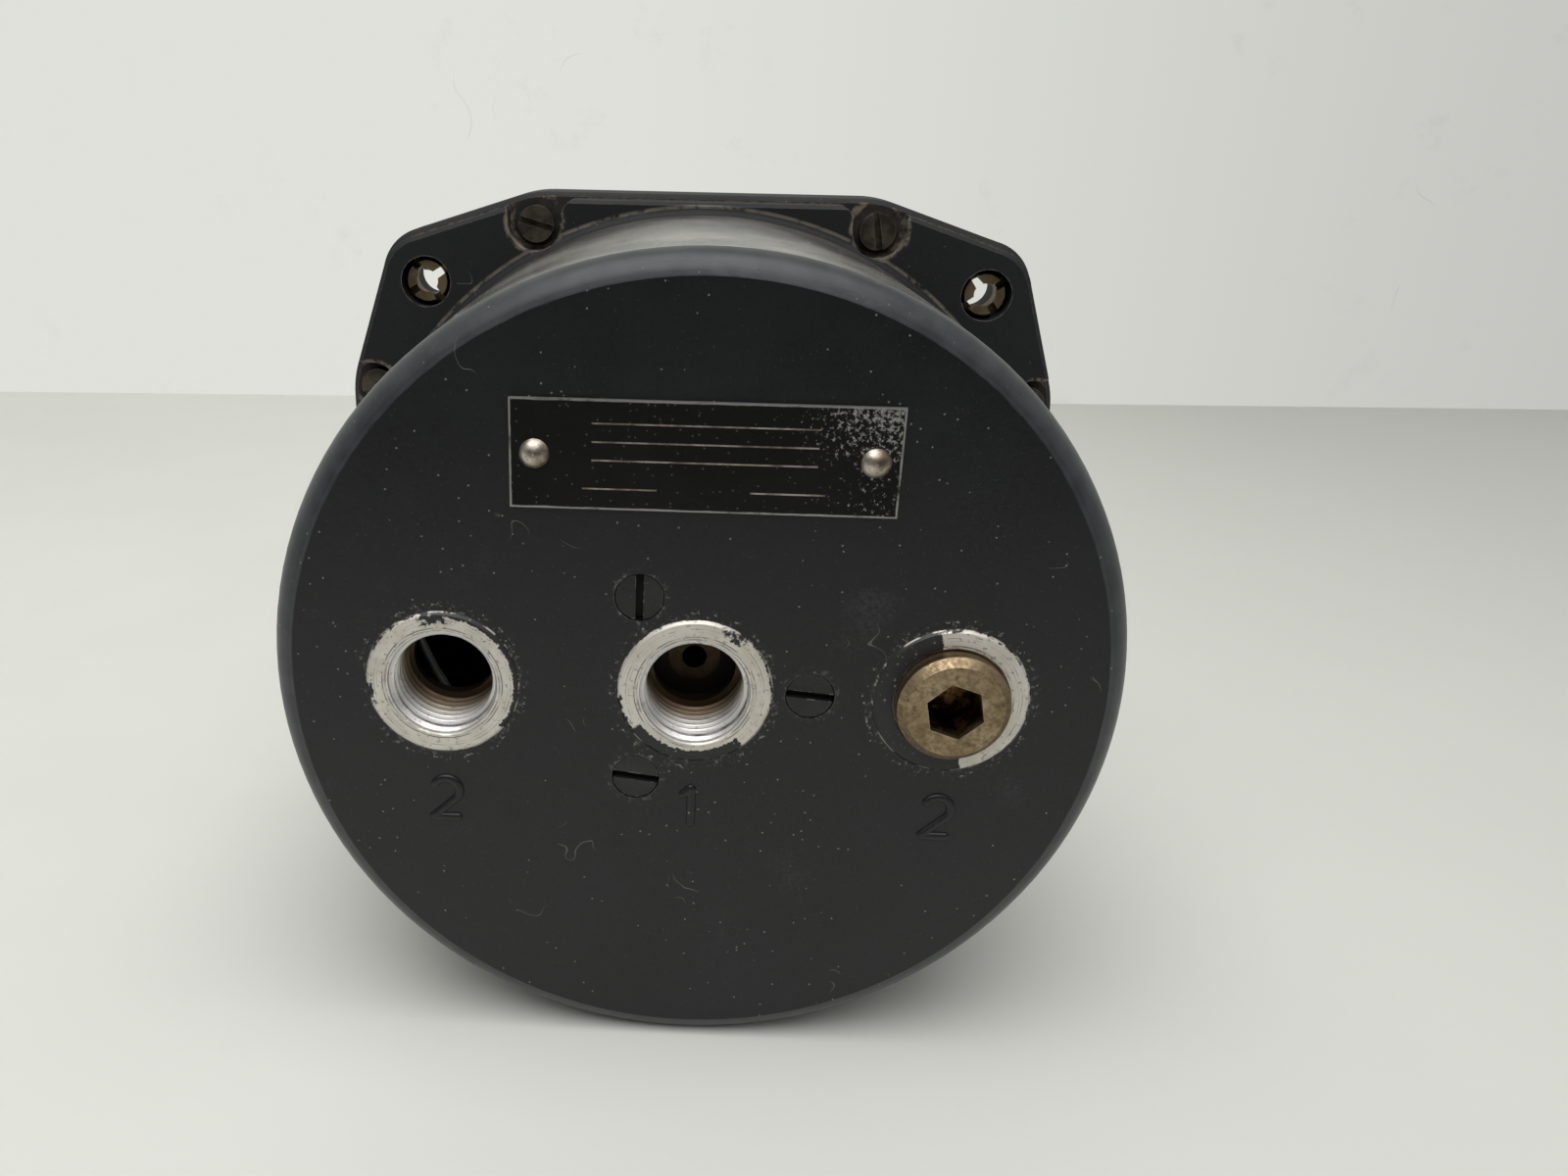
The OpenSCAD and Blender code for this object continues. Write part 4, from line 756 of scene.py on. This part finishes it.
def painted_arcs(tree, place, spot, radius, arcs):
    """Paint on a port's face: a thin line at its rim, and arcs with ragged edges."""
    ragged = jitter(tree, place, 1700.0, 1.0, 7.0)
    edge_r = calc(tree, "MULTIPLY_ADD", ragged, 0.35 * MM, radius)
    paint = step(tree, edge_r, BUSH_R - 0.1 * MM, BUSH_R - 0.06 * MM)
    reach = calc(tree, "MULTIPLY_ADD", ragged, 1.1 * MM, radius)
    for middle, half, from_radius in arcs:
        turn = math.radians(middle)
        east = calc(tree, "MULTIPLY", spot["X"], -math.cos(turn))
        towards = calc(tree, "DIVIDE", calc(tree, "MULTIPLY_ADD", spot["Z"], math.sin(turn), east), radius)
        edge = math.cos(math.radians(half))
        wide = step(tree, calc(tree, "MULTIPLY_ADD", ragged, 0.14, towards), edge - 0.01, edge + 0.01)
        outside = step(tree, reach, from_radius - 0.03 * MM, from_radius + 0.03 * MM)
        paint = most(tree, paint, times(tree, wide, outside))
    return paint


def make_port_metal(name, centre_x, arcs):
    """Dull port metal: pale and pitted, bright on the thread's crests with painted shade in the roots, brown
    inside, with ragged paint.
    """
    material, tree, shader, place = start(name)
    centred = vector(tree, "SUBTRACT", place, (centre_x, 0.0, 0.0))["Vector"]
    spot = split(tree, centred)
    radius = use(tree, RINGS, "Radius", Place=centred)
    rings = use(tree, RINGS, "Height", Place=centred, Scale=5200.0)
    broad = use(tree, MOTTLE, "Broad", Place=place, Scale=420.0)
    turned = times(tree, step(tree, rings, 0.58, 0.7), clouds(tree, place, 700.0, 0.4, 0.6), 0.6)
    pits = most(tree, times(tree, clouds(tree, place, 2300.0, 0.58, 0.64, 7.0), 0.7), turned)
    uneven_r = uneven(tree, radius, place, 600.0, 0.12 * MM)
    mouth = times(tree, near(tree, uneven_r, PORT_R + 0.46 * MM, 0.03 * MM, 0.05 * MM),
                  clouds(tree, place, 420.0, 0.4, 0.55))

    inside = step(tree, radius, PORT_R + 0.2 * MM, PORT_R + 0.12 * MM)
    deep = step(tree, spot["Y"], BUSH_Y - 1.6 * MM, BUSH_Y - 5.6 * MM)
    # Painted shade in the thread's roots, past the mouth
    thread_root_shade = times(tree, step(tree, radius, PORT_R - 0.36 * MM, PORT_R - 0.14 * MM),
                   step(tree, spot["Y"], BUSH_Y - 0.5 * MM, BUSH_Y - 1.1 * MM),
                   summed(tree, 0.6, (clouds(tree, place, 600.0, 0.35, 0.6), 0.35)))
    bore = mixed(tree, deep, BORE_BRIGHT, BORE_BROWN)
    bore = coated(tree, bore, (pits, 0.6, BORE_PITS), (thread_root_shade, 1.0, BORE_ROOT_SHADE))

    chipped_rim = times(tree, step(tree, radius, BUSH_R - 0.16 * MM, BUSH_R - 0.1 * MM),
                        clouds(tree, place, 650.0, 0.5, 0.58), 0.8)
    bare = most(tree, inside, chipped_rim)
    paint = times(tree, painted_arcs(tree, place, spot, radius, arcs), flipped(tree, bare))
    flecks = use(tree, SPECKS, "Mask", Place=place, Scale=2600.0, Share=0.3, Size=0.35)
    dusty_paint = mixed(tree, times(tree, flecks, 0.5), PAINT_BLACK, DUST)
    colour = coated(
        tree, mixed(tree, broad, PORT_DARK, PORT_PALE),
        (pits, 1.0, PORT_PITS),
        (mouth, 0.8, MOUTH_LINE),
        (inside, 1.0, bore),
        (paint, 1.0, dusty_paint),
    )

    metal = times(tree, flipped(tree, paint), summed(tree, 0.55, (inside, 0.35)))
    roughness = summed(tree, 0.38, (broad, 0.14))
    height = calc(tree, "ADD", rings, calc(tree, "SUBTRACT", paint, pits))
    normal = bumped(tree, height, 0.3, 0.03 * MM)
    fill(tree, shader, {"Base Color": colour, "Metallic": metal, "Roughness": roughness, "Normal": normal})
    return material


# Plug
PLUG_DARK = rgb(0.27, 0.2, 0.115)
PLUG_PALE = rgb(0.4, 0.31, 0.195)
PLUG_GRAIN = rgb(0.12, 0.083, 0.044)
PLUG_EDGE = rgb(0.5, 0.41, 0.28)
PLUG_STAIN = rgb(0.09, 0.065, 0.04)
PLUG_GROOVE_SHADE = rgb(0.05, 0.035, 0.02)
SOCKET_SHADE = rgb(0.02, 0.01, 0.004)
SOCKET_PAINTED_GLINT = rgb(0.3, 0.18, 0.07)


def make_plug_brass():
    """Dull turned brass: brown-gold, stained, with a brighter chamfer, painted shade in its grooves and
    socket, and painted glints.
    """
    material, tree, shader, place = start("dull plug brass")
    centred = vector(tree, "SUBTRACT", place, (-STATIC_X, 0.0, 0.0))["Vector"]
    spot = split(tree, centred)
    rings = use(tree, RINGS, "Height", Place=centred, Scale=4200.0)
    radius = use(tree, RINGS, "Radius", Place=centred)
    broad = use(tree, MOTTLE, "Broad", Place=place, Scale=330.0)
    fine = use(tree, MOTTLE, "Fine", Place=place, Scale=190.0)
    edges = use(tree, EDGES, "Mask", Place=place, Width=0.3 * MM, Break=500.0)
    stains = clouds(tree, place, 1500.0, 0.54, 0.66, 7.0)
    # Socket: painted shade in the recess, broken by painted glints
    below = step(tree, spot["Y"], PLUG_HIGH.y - 0.25 * MM, PLUG_HIGH.y - 1.2 * MM)
    socket = times(tree, below, step(tree, radius, 3.1 * MM, 2.9 * MM))
    socket_shade_and_glints = mixed(tree, clouds(tree, place, 520.0, 0.46, 0.6, 4.0), SOCKET_SHADE, SOCKET_PAINTED_GLINT)
    outer = step(tree, radius, PLUG_R - 0.09 * MM, PLUG_R - 0.03 * MM)
    # Painted shade of thread grooves on the plug's side, which has no modelled thread
    turns = calc(tree, "PINGPONG", calc(tree, "DIVIDE", spot["Y"], THREAD_PITCH), 0.5)
    groove_shade = times(tree, outer, step(tree, turns, 0.2, 0.1))
    colour = coated(
        tree, mixed(tree, broad, PLUG_DARK, PLUG_PALE),
        (fine, 0.45, PLUG_GRAIN),
        (edges, 0.6, PLUG_EDGE),
        (stains, 0.6, PLUG_STAIN),
        (socket, 0.95, socket_shade_and_glints),
        (groove_shade, 0.6, PLUG_GROOVE_SHADE),
    )
    roughness = summed(tree, 0.36, (fine, 0.2))
    normal = bumped(tree, calc(tree, "SUBTRACT", rings, stains), 0.3, 0.02 * MM)
    fill(tree, shader, {"Base Color": colour, "Roughness": roughness, "Normal": normal, "Metallic": 1.0})
    return material


# Plain metals, paints, plate and glass
PIT_SHADE = 0.3
PALE_SPECK = grey(0.5)
SCREW_BLACK = grey(0.012, -0.04)
SLOT_SHADE = grey(0.0015)
ENAMEL_LOW = grey(0.0025, 0.05)
ENAMEL_HIGH = grey(0.0045, 0.05)
PLATE_BARE = rgb(0.46, 0.45, 0.43)
PLATE_GLOSS = 0.2
GLASS_TINT = rgb(0.97, 0.985, 0.98)
GLASS_IOR = 1.5


def make_metal(name, dark, light, roughness, scale=300.0, wear=None, pits=0.15, port_shade=0.0):
    """Metal in two cloudy tones with pits and, where given, paler worn edges and painted shade in line with
    the ports.
    """
    material, tree, shader, place = start(name)
    broad = use(tree, MOTTLE, "Broad", Place=place, Scale=scale)
    fine = use(tree, MOTTLE, "Fine", Place=place, Scale=scale)
    spots = use(tree, SPECKS, "Mask", Place=place, Scale=scale * 4, Share=pits, Size=0.3)
    pit_colour = rgb(*(level * PIT_SHADE for level in dark[:3]))
    colour = coated(tree, mixed(tree, broad, dark, light), (spots, 0.5, pit_colour))
    if wear is not None:
        edges = use(tree, EDGES, "Mask", Place=place, Width=0.16 * MM, Break=1500.0)
        colour = coated(tree, colour, (edges, 0.8, wear))
    if port_shade > 0:
        spot = split(tree, place)
        # Painted shade: nearly black where the metal lies in line with a port, close behind it
        under = times(tree, step(tree, port_distance(tree, spot), PORT_R + 1.2 * MM, PORT_R),
                      step(tree, spot["Y"], BUSH_Y - 18.0 * MM, BUSH_Y - 14.0 * MM))
        colour = coated(tree, colour, (under, port_shade, PORT_LINE_SHADE))
    rough = summed(tree, roughness, (fine, 0.16))
    normal = bumped(tree, fine, 0.15, 0.02 * MM)
    fill(tree, shader, {"Base Color": colour, "Roughness": rough, "Normal": normal, "Metallic": 1.0})
    return material


def make_painted_screw():
    """Screw painted over with the case: black, painted shade in its slot, and pale chips round its edges."""
    material, tree, shader, place = start("painted screw")
    broad = use(tree, MOTTLE, "Broad", Place=place, Scale=300.0)
    fine = use(tree, MOTTLE, "Fine", Place=place, Scale=260.0)
    edges = use(tree, EDGES, "Mask", Place=place, Width=0.2 * MM, Break=1300.0)
    chips = times(tree, edges, clouds(tree, place, 1900.0, 0.5, 0.62), 0.9)
    specks = use(tree, SPECKS, "Mask", Place=place, Scale=2200.0, Share=0.3, Size=0.22)
    pale = most(tree, chips, times(tree, specks, 0.35))
    # Painted shade: the slot is darker than the head
    slot = step(tree, split(tree, place)["Y"], SCREW_Y - 0.12 * MM, SCREW_Y - 0.3 * MM)
    paint = mixed(tree, broad, BLACK_LOW, SCREW_BLACK)
    colour = coated(tree, paint, (pale, 1.0, DUST), (slot, 1.0, SLOT_SHADE))
    roughness = summed(tree, 0.42, (slot, 0.4))
    normal = bumped(tree, fine, 0.35, 0.03 * MM)
    fill(tree, shader, {"Base Color": colour, "Roughness": roughness, "Normal": normal})
    return material


def make_coating(name, dark, light, roughness, scale=300.0, specks=0.1):
    """Paint or rubber: two tones in clouds, fine grain and a few pale specks."""
    material, tree, shader, place = start(name)
    broad = use(tree, MOTTLE, "Broad", Place=place, Scale=scale)
    fine = use(tree, MOTTLE, "Fine", Place=place, Scale=scale)
    spots = use(tree, SPECKS, "Mask", Place=place, Scale=scale * 3, Share=specks, Size=0.12)
    colour = coated(tree, mixed(tree, broad, dark, light), (spots, 0.4, PALE_SPECK))
    rough = summed(tree, roughness, (fine, 0.12))
    normal = bumped(tree, fine, 0.04, 0.02 * MM)
    fill(tree, shader, {"Base Color": colour, "Roughness": rough, "Normal": normal})
    return material


def make_nameplate():
    """Black enamelled plate: a thin dull border, and enamel scratched to bare metal on the camera's right."""
    material, tree, shader, place = start("worn black plate")
    spot = split(tree, place)
    from_side = calc(tree, "SUBTRACT", PLATE_HIGH.x, calc(tree, "ABSOLUTE", spot["X"]))
    from_middle = calc(tree, "ABSOLUTE", calc(tree, "SUBTRACT", spot["Z"], PLATE_MIDDLE_Z))
    from_top = calc(tree, "SUBTRACT", PLATE_HIGH.z - PLATE_MIDDLE_Z, from_middle)
    inset = uneven(tree, calc(tree, "MINIMUM", from_side, from_top), place, 500.0, 0.16 * MM)
    border_clouds = clouds(tree, place, 240.0, 0.3, 0.5, 4.0)
    border = times(tree, step(tree, inset, 0.2 * MM, 0.12 * MM), border_clouds, 0.75)
    broad = use(tree, MOTTLE, "Broad", Place=place, Scale=160.0)
    fine = use(tree, MOTTLE, "Fine", Place=place, Scale=300.0)
    worn_side = step(tree, spot["X"], -2.0 * MM, -15.0 * MM)
    uneven_z = uneven(tree, spot["Z"], place, 180.0, 6.0 * MM)
    worn_top = step(tree, uneven_z, PLATE_MIDDLE_Z - 1.0 * MM, PLATE_HIGH.z)
    wear = times(tree, worn_side, summed(tree, 0.1, (worn_top, 0.09)))
    scuffs = calc(tree, "ADD", noise(tree, place, 2300.0, 8.0, 0.75), wear)
    bare = most(tree, border, times(tree, step(tree, scuffs, 0.68, 0.72), 0.85))
    motes = use(tree, SPECKS, "Mask", Place=place, Scale=1900.0, Share=0.4, Size=0.2)
    enamel = mixed(tree, broad, ENAMEL_LOW, ENAMEL_HIGH)
    colour = coated(tree, enamel, (bare, 1.0, PLATE_BARE), (motes, 0.2, DUST))
    rough = summed(tree, 0.3, (fine, 0.14))
    normal = bumped(tree, calc(tree, "SUBTRACT", fine, bare), 0.25, 0.03 * MM)
    fill(tree, shader, {"Base Color": colour, "Metallic": bare, "Roughness": rough, "Normal": normal,
                        "Specular IOR Level": PLATE_GLOSS})
    return material


def make_glass():
    """Clear flat glass with faint smears in its gloss."""
    material, tree, shader, place = start("clear cover glass")
    smear = use(tree, MOTTLE, "Broad", Place=place, Scale=60.0)
    fill(tree, shader, {"Base Color": GLASS_TINT, "Roughness": times(tree, smear, 0.035), "IOR": GLASS_IOR,
                        "Transmission Weight": 1.0})
    return material


METALS = {
    "insert_brass": {
        "name": "dull insert brass", "dark": rgb(0.13, 0.095, 0.05), "light": rgb(0.26, 0.2, 0.12),
        "roughness": 0.42, "wear": rgb(0.5, 0.42, 0.29),
    },
    "black_screw": {
        "name": "blackened screw", "dark": rgb(0.06, 0.05, 0.04), "light": rgb(0.14, 0.12, 0.095),
        "roughness": 0.42, "scale": 500.0, "wear": rgb(0.34, 0.3, 0.25),
    },
    "rivet_metal": {
        "name": "bright rivet metal", "dark": rgb(0.2, 0.16, 0.115), "light": rgb(0.56, 0.51, 0.44),
        "roughness": 0.3, "scale": 700.0, "pits": 0.4,
    },
    "base_metal": {
        "name": "cast base metal", "dark": grey(0.42), "light": rgb(0.6, 0.6, 0.59),
        "roughness": 0.46, "scale": 200.0, "pits": 0.3, "port_shade": 0.97,
    },
    "movement_brass": {
        "name": "movement brass", "dark": rgb(0.5, 0.37, 0.17), "light": rgb(0.68, 0.53, 0.28),
        "roughness": 0.26, "scale": 160.0,
    },
    "movement_steel": {
        "name": "movement steel", "dark": rgb(0.5, 0.5, 0.51), "light": rgb(0.66, 0.66, 0.67),
        "roughness": 0.2, "scale": 260.0,
    },
    "capsule_metal": {
        "name": "spring copper alloy", "dark": rgb(0.55, 0.36, 0.22), "light": rgb(0.7, 0.5, 0.33),
        "roughness": 0.28, "scale": 140.0, "port_shade": 0.95,
    },
}
COATINGS = {
    "black_rubber": {
        "name": "black rubber", "dark": grey(0.016), "light": grey(0.03),
        "roughness": 0.62,
    },
    "dial_black": {
        "name": "matte black dial", "dark": grey(0.012), "light": grey(0.02),
        "roughness": 0.6, "scale": 250.0, "specks": 0.03,
    },
    "pointer_ivory": {
        "name": "ivory paint", "dark": rgb(0.78, 0.75, 0.64), "light": rgb(0.87, 0.84, 0.74),
        "roughness": 0.5, "specks": 0.0,
    },
}
FINISHES = {
    "case_moulding": make_moulding(),
    "cover_glass": make_glass(),
    "plug_brass": make_plug_brass(),
    "nameplate_black": make_nameplate(),
}
FINISHES.update({slot: make_metal(**values) for slot, values in METALS.items()})
FINISHES.update({slot: make_coating(**values) for slot, values in COATINGS.items()})
NODE_FINISHES = {"movement_screws": make_painted_screw()}
for node, port_x in PORT_CENTRES.items():
    NODE_FINISHES[node] = make_port_metal(f"port metal of {node}", port_x, PORT_PAINT[node])

for subpart in frame["record"]["subparts"]:
    finish = NODE_FINISHES.get(subpart["node"]) or FINISHES[subpart["material_slot"]]
    frame["nodes"][subpart["node"]].material_slots[0].material = finish


# New pieces

for node, port_x in PORT_CENTRES.items():
    port_name = node.removesuffix("_bush")
    port_mark = ridge_mesh(f"{port_name}_port_mark", mark_path(PORT_NUMBERS[node], port_x), REAR_Y)
    add_piece(port_mark, FINISHES["case_moulding"])
    if node != PLUGGED_BUSH:
        add_piece(thread_mesh(f"{port_name}_port_thread", port_x), NODE_FINISHES[node])

add_piece(rule_mesh("nameplate_rules"), FINISHES["rivet_metal"])
add_piece(tick_mesh("dial_ticks"), FINISHES["pointer_ivory"])
add_piece(number_mesh("dial_numbers"), FINISHES["pointer_ivory"])
add_swelling_sheet("capsule_front_sheet", CAPSULE_NODE, FINISHES["capsule_metal"])


# Stage
FLOOR_Z = -41.6 * MM
FLOOR_SLOPE = 0.0504
WALL_Y = -358.4 * MM
WALL_SLOPE = 0.1055
STAGE_REACH = 3.0
TABLE_LEVEL = 0.7
TABLE_CLOUD = 0.97
TABLE_RIGHT_SHADE = 0.8
TABLE_SIDE_X = (0.06, -0.26)
TABLE_FAR_SHADE_LEVEL = 0.4
TABLE_PALE_Y = 0.08
TABLE_FAR_Y = 0.25
WALL_LEFT_LEVEL = 0.75
WALL_RIGHT_SHADE_LEVEL = 0.55
WALL_SIDE_X = (0.1, -0.46)
WALL_PATTERN = 0.12
WALL_SCUFF = grey(0.3)


def floor_height(y):
    """Height of the table top at a place along Y."""
    return FLOOR_Z + FLOOR_SLOPE * y


def wall_foot(x):
    """Corner of table and wall at a place along X."""
    y = WALL_Y + WALL_SLOPE * x
    return (x, y, floor_height(y))


def raised(corner):
    """Top of the wall over a place at its foot."""
    return (corner[0], corner[1], STAGE_REACH)


def make_table_finish():
    """Pale matte table with faint clouds of tone, and painted shade a little deeper on one side and far
    behind the camera.
    """
    material, tree, shader, place = start("pale table")
    spot = split(tree, place)
    broad = use(tree, MOTTLE, "Broad", Place=place, Scale=14.0)
    colour = coated(
        tree, mixed(tree, broad, cream(TABLE_LEVEL * TABLE_CLOUD), cream(TABLE_LEVEL)),
        # Painted shade: darker towards the camera's right and far behind the camera, where less light falls
        (step(tree, spot["X"], *TABLE_SIDE_X), 1.0, cream(TABLE_LEVEL * TABLE_RIGHT_SHADE)),
        (step(tree, spot["Y"], TABLE_PALE_Y, TABLE_FAR_Y), 1.0, cream(TABLE_FAR_SHADE_LEVEL)),
    )
    fill(tree, shader, {"Base Color": colour, "Roughness": 0.7, "Specular IOR Level": 0.2})
    return material


def make_wall_finish():
    """Pale scuffed wall with painted shade from side to side, which it shows to the camera and in
    reflections.
    """
    material, tree, shader, place = start("pale wall")
    across = step(tree, split(tree, place)["X"], *WALL_SIDE_X)
    wide_place = vector(tree, "MULTIPLY", place, (WALL_PATTERN, WALL_PATTERN, WALL_PATTERN))["Vector"]
    scratches = use(tree, HAIRS, "Mask", Place=wide_place, Share=0.2, Width=0.004)
    scuffs = times(tree, clouds(tree, place, 60.0, 0.55, 0.7), clouds(tree, place, 9.0, 0.5, 0.62))
    marks = most(tree, times(tree, scratches, 0.3), times(tree, scuffs, 0.1))
    # Painted shade: the wall darkens towards the camera's right, where less light falls
    plain = mixed(tree, across, cream(WALL_LEFT_LEVEL), cream(WALL_RIGHT_SHADE_LEVEL))
    colour = coated(tree, plain, (marks, 1.0, WALL_SCUFF))
    fill(tree, shader, {"Base Color": colour, "Roughness": 0.8, "Specular IOR Level": 0.1})
    path = add(tree, "ShaderNodeLightPath").outputs
    seen = most(tree, path["Is Camera Ray"], path["Is Glossy Ray"], path["Is Transmission Ray"])
    glow = add(tree, "ShaderNodeEmission", {"Color": colour})
    shown = add(tree, "ShaderNodeMixShader", {0: seen, 1: shader.outputs[0], 2: glow.outputs[0]})
    fill(tree, tree.nodes["Material Output"], {"Surface": shown.outputs[0]})
    return material


def add_stage(name, corners, material):
    """Flat stage piece from its four corners."""
    mesh = bpy.data.meshes.new(name)
    mesh.from_pydata(corners, [], [(0, 1, 2, 3)])
    dressed(mesh, material)


left_foot = wall_foot(STAGE_REACH)
right_foot = wall_foot(-STAGE_REACH)
table_end = (TABLE_FAR_Y, floor_height(TABLE_FAR_Y))
table_corners = [right_foot, left_foot, (STAGE_REACH, *table_end), (-STAGE_REACH, *table_end)]
add_stage("table", table_corners, make_table_finish())
wall_corners = [left_foot, right_foot, raised(right_foot), raised(left_foot)]
add_stage("wall", wall_corners, make_wall_finish())

# Light
WORLD_HORIZON = grey(0.42, 0.01)
WORLD_ZENITH = grey(0.85, 0.01)
WORLD_BEHIND = grey(0.08)
LAMP_SPOT = (0.05, 0.26, 0.68)
LAMP_TARGET = (0.0, 0.024, 0.0)
LAMP_SIZE = 0.75
LAMP_POWER = 4.7


def make_world():
    """Soft room: plain grey that brightens from the horizon to the ceiling, and is dim towards positive Y."""
    world = bpy.data.worlds.new("soft room")
    bpy.context.scene.world = world
    world.use_nodes = True
    tree = world.node_tree
    facing = split(tree, add(tree, "ShaderNodeTexCoord").outputs["Generated"])
    room = mixed(tree, step(tree, facing["Z"], 0.0, 0.9), WORLD_HORIZON, WORLD_ZENITH)
    behind = times(tree, step(tree, facing["Y"], -0.1, 0.6), step(tree, facing["Z"], 0.75, 0.2))
    colour = coated(tree, room, (behind, 1.0, WORLD_BEHIND))
    fill(tree, tree.nodes["Background"], {"Color": colour, "Strength": 1.0})


def add_softbox(name, spot, target, size, power):
    """Square soft lamp that faces a target."""
    lamp = bpy.data.lights.new(name, "AREA")
    lamp.size = size
    lamp.energy = power
    holder = put(name, lamp)
    holder.location = spot
    holder.rotation_euler = (Vector(target) - Vector(spot)).to_track_quat("-Z", "Y").to_euler()


make_world()
add_softbox("ceiling lamp", LAMP_SPOT, LAMP_TARGET, LAMP_SIZE, LAMP_POWER)

# Camera
CAMERA_SPOT = Vector((2.18 * MM, 147.33 * MM, 48.23 * MM))
CAMERA_RIGHT = Vector((-0.99884, -0.04404, 0.0194))
CAMERA_UP = Vector((0.03376, -0.35396, 0.93465))
CAMERA_LENS = 27.585
CAMERA_SENSOR = 36
CAMERA_SHIFT = (0.0961, -0.003)

lens = bpy.data.cameras.new("camera")
lens.lens = CAMERA_LENS
lens.sensor_width = CAMERA_SENSOR
lens.shift_x, lens.shift_y = CAMERA_SHIFT
lens.clip_start = MM
camera = put("camera", lens)
camera_turn = Matrix((CAMERA_RIGHT, CAMERA_UP, CAMERA_RIGHT.cross(CAMERA_UP))).transposed().to_4x4()
camera.matrix_world = Matrix.Translation(CAMERA_SPOT) @ camera_turn
bpy.context.scene.camera = camera
bpy.context.scene.view_settings.view_transform = "Standard"
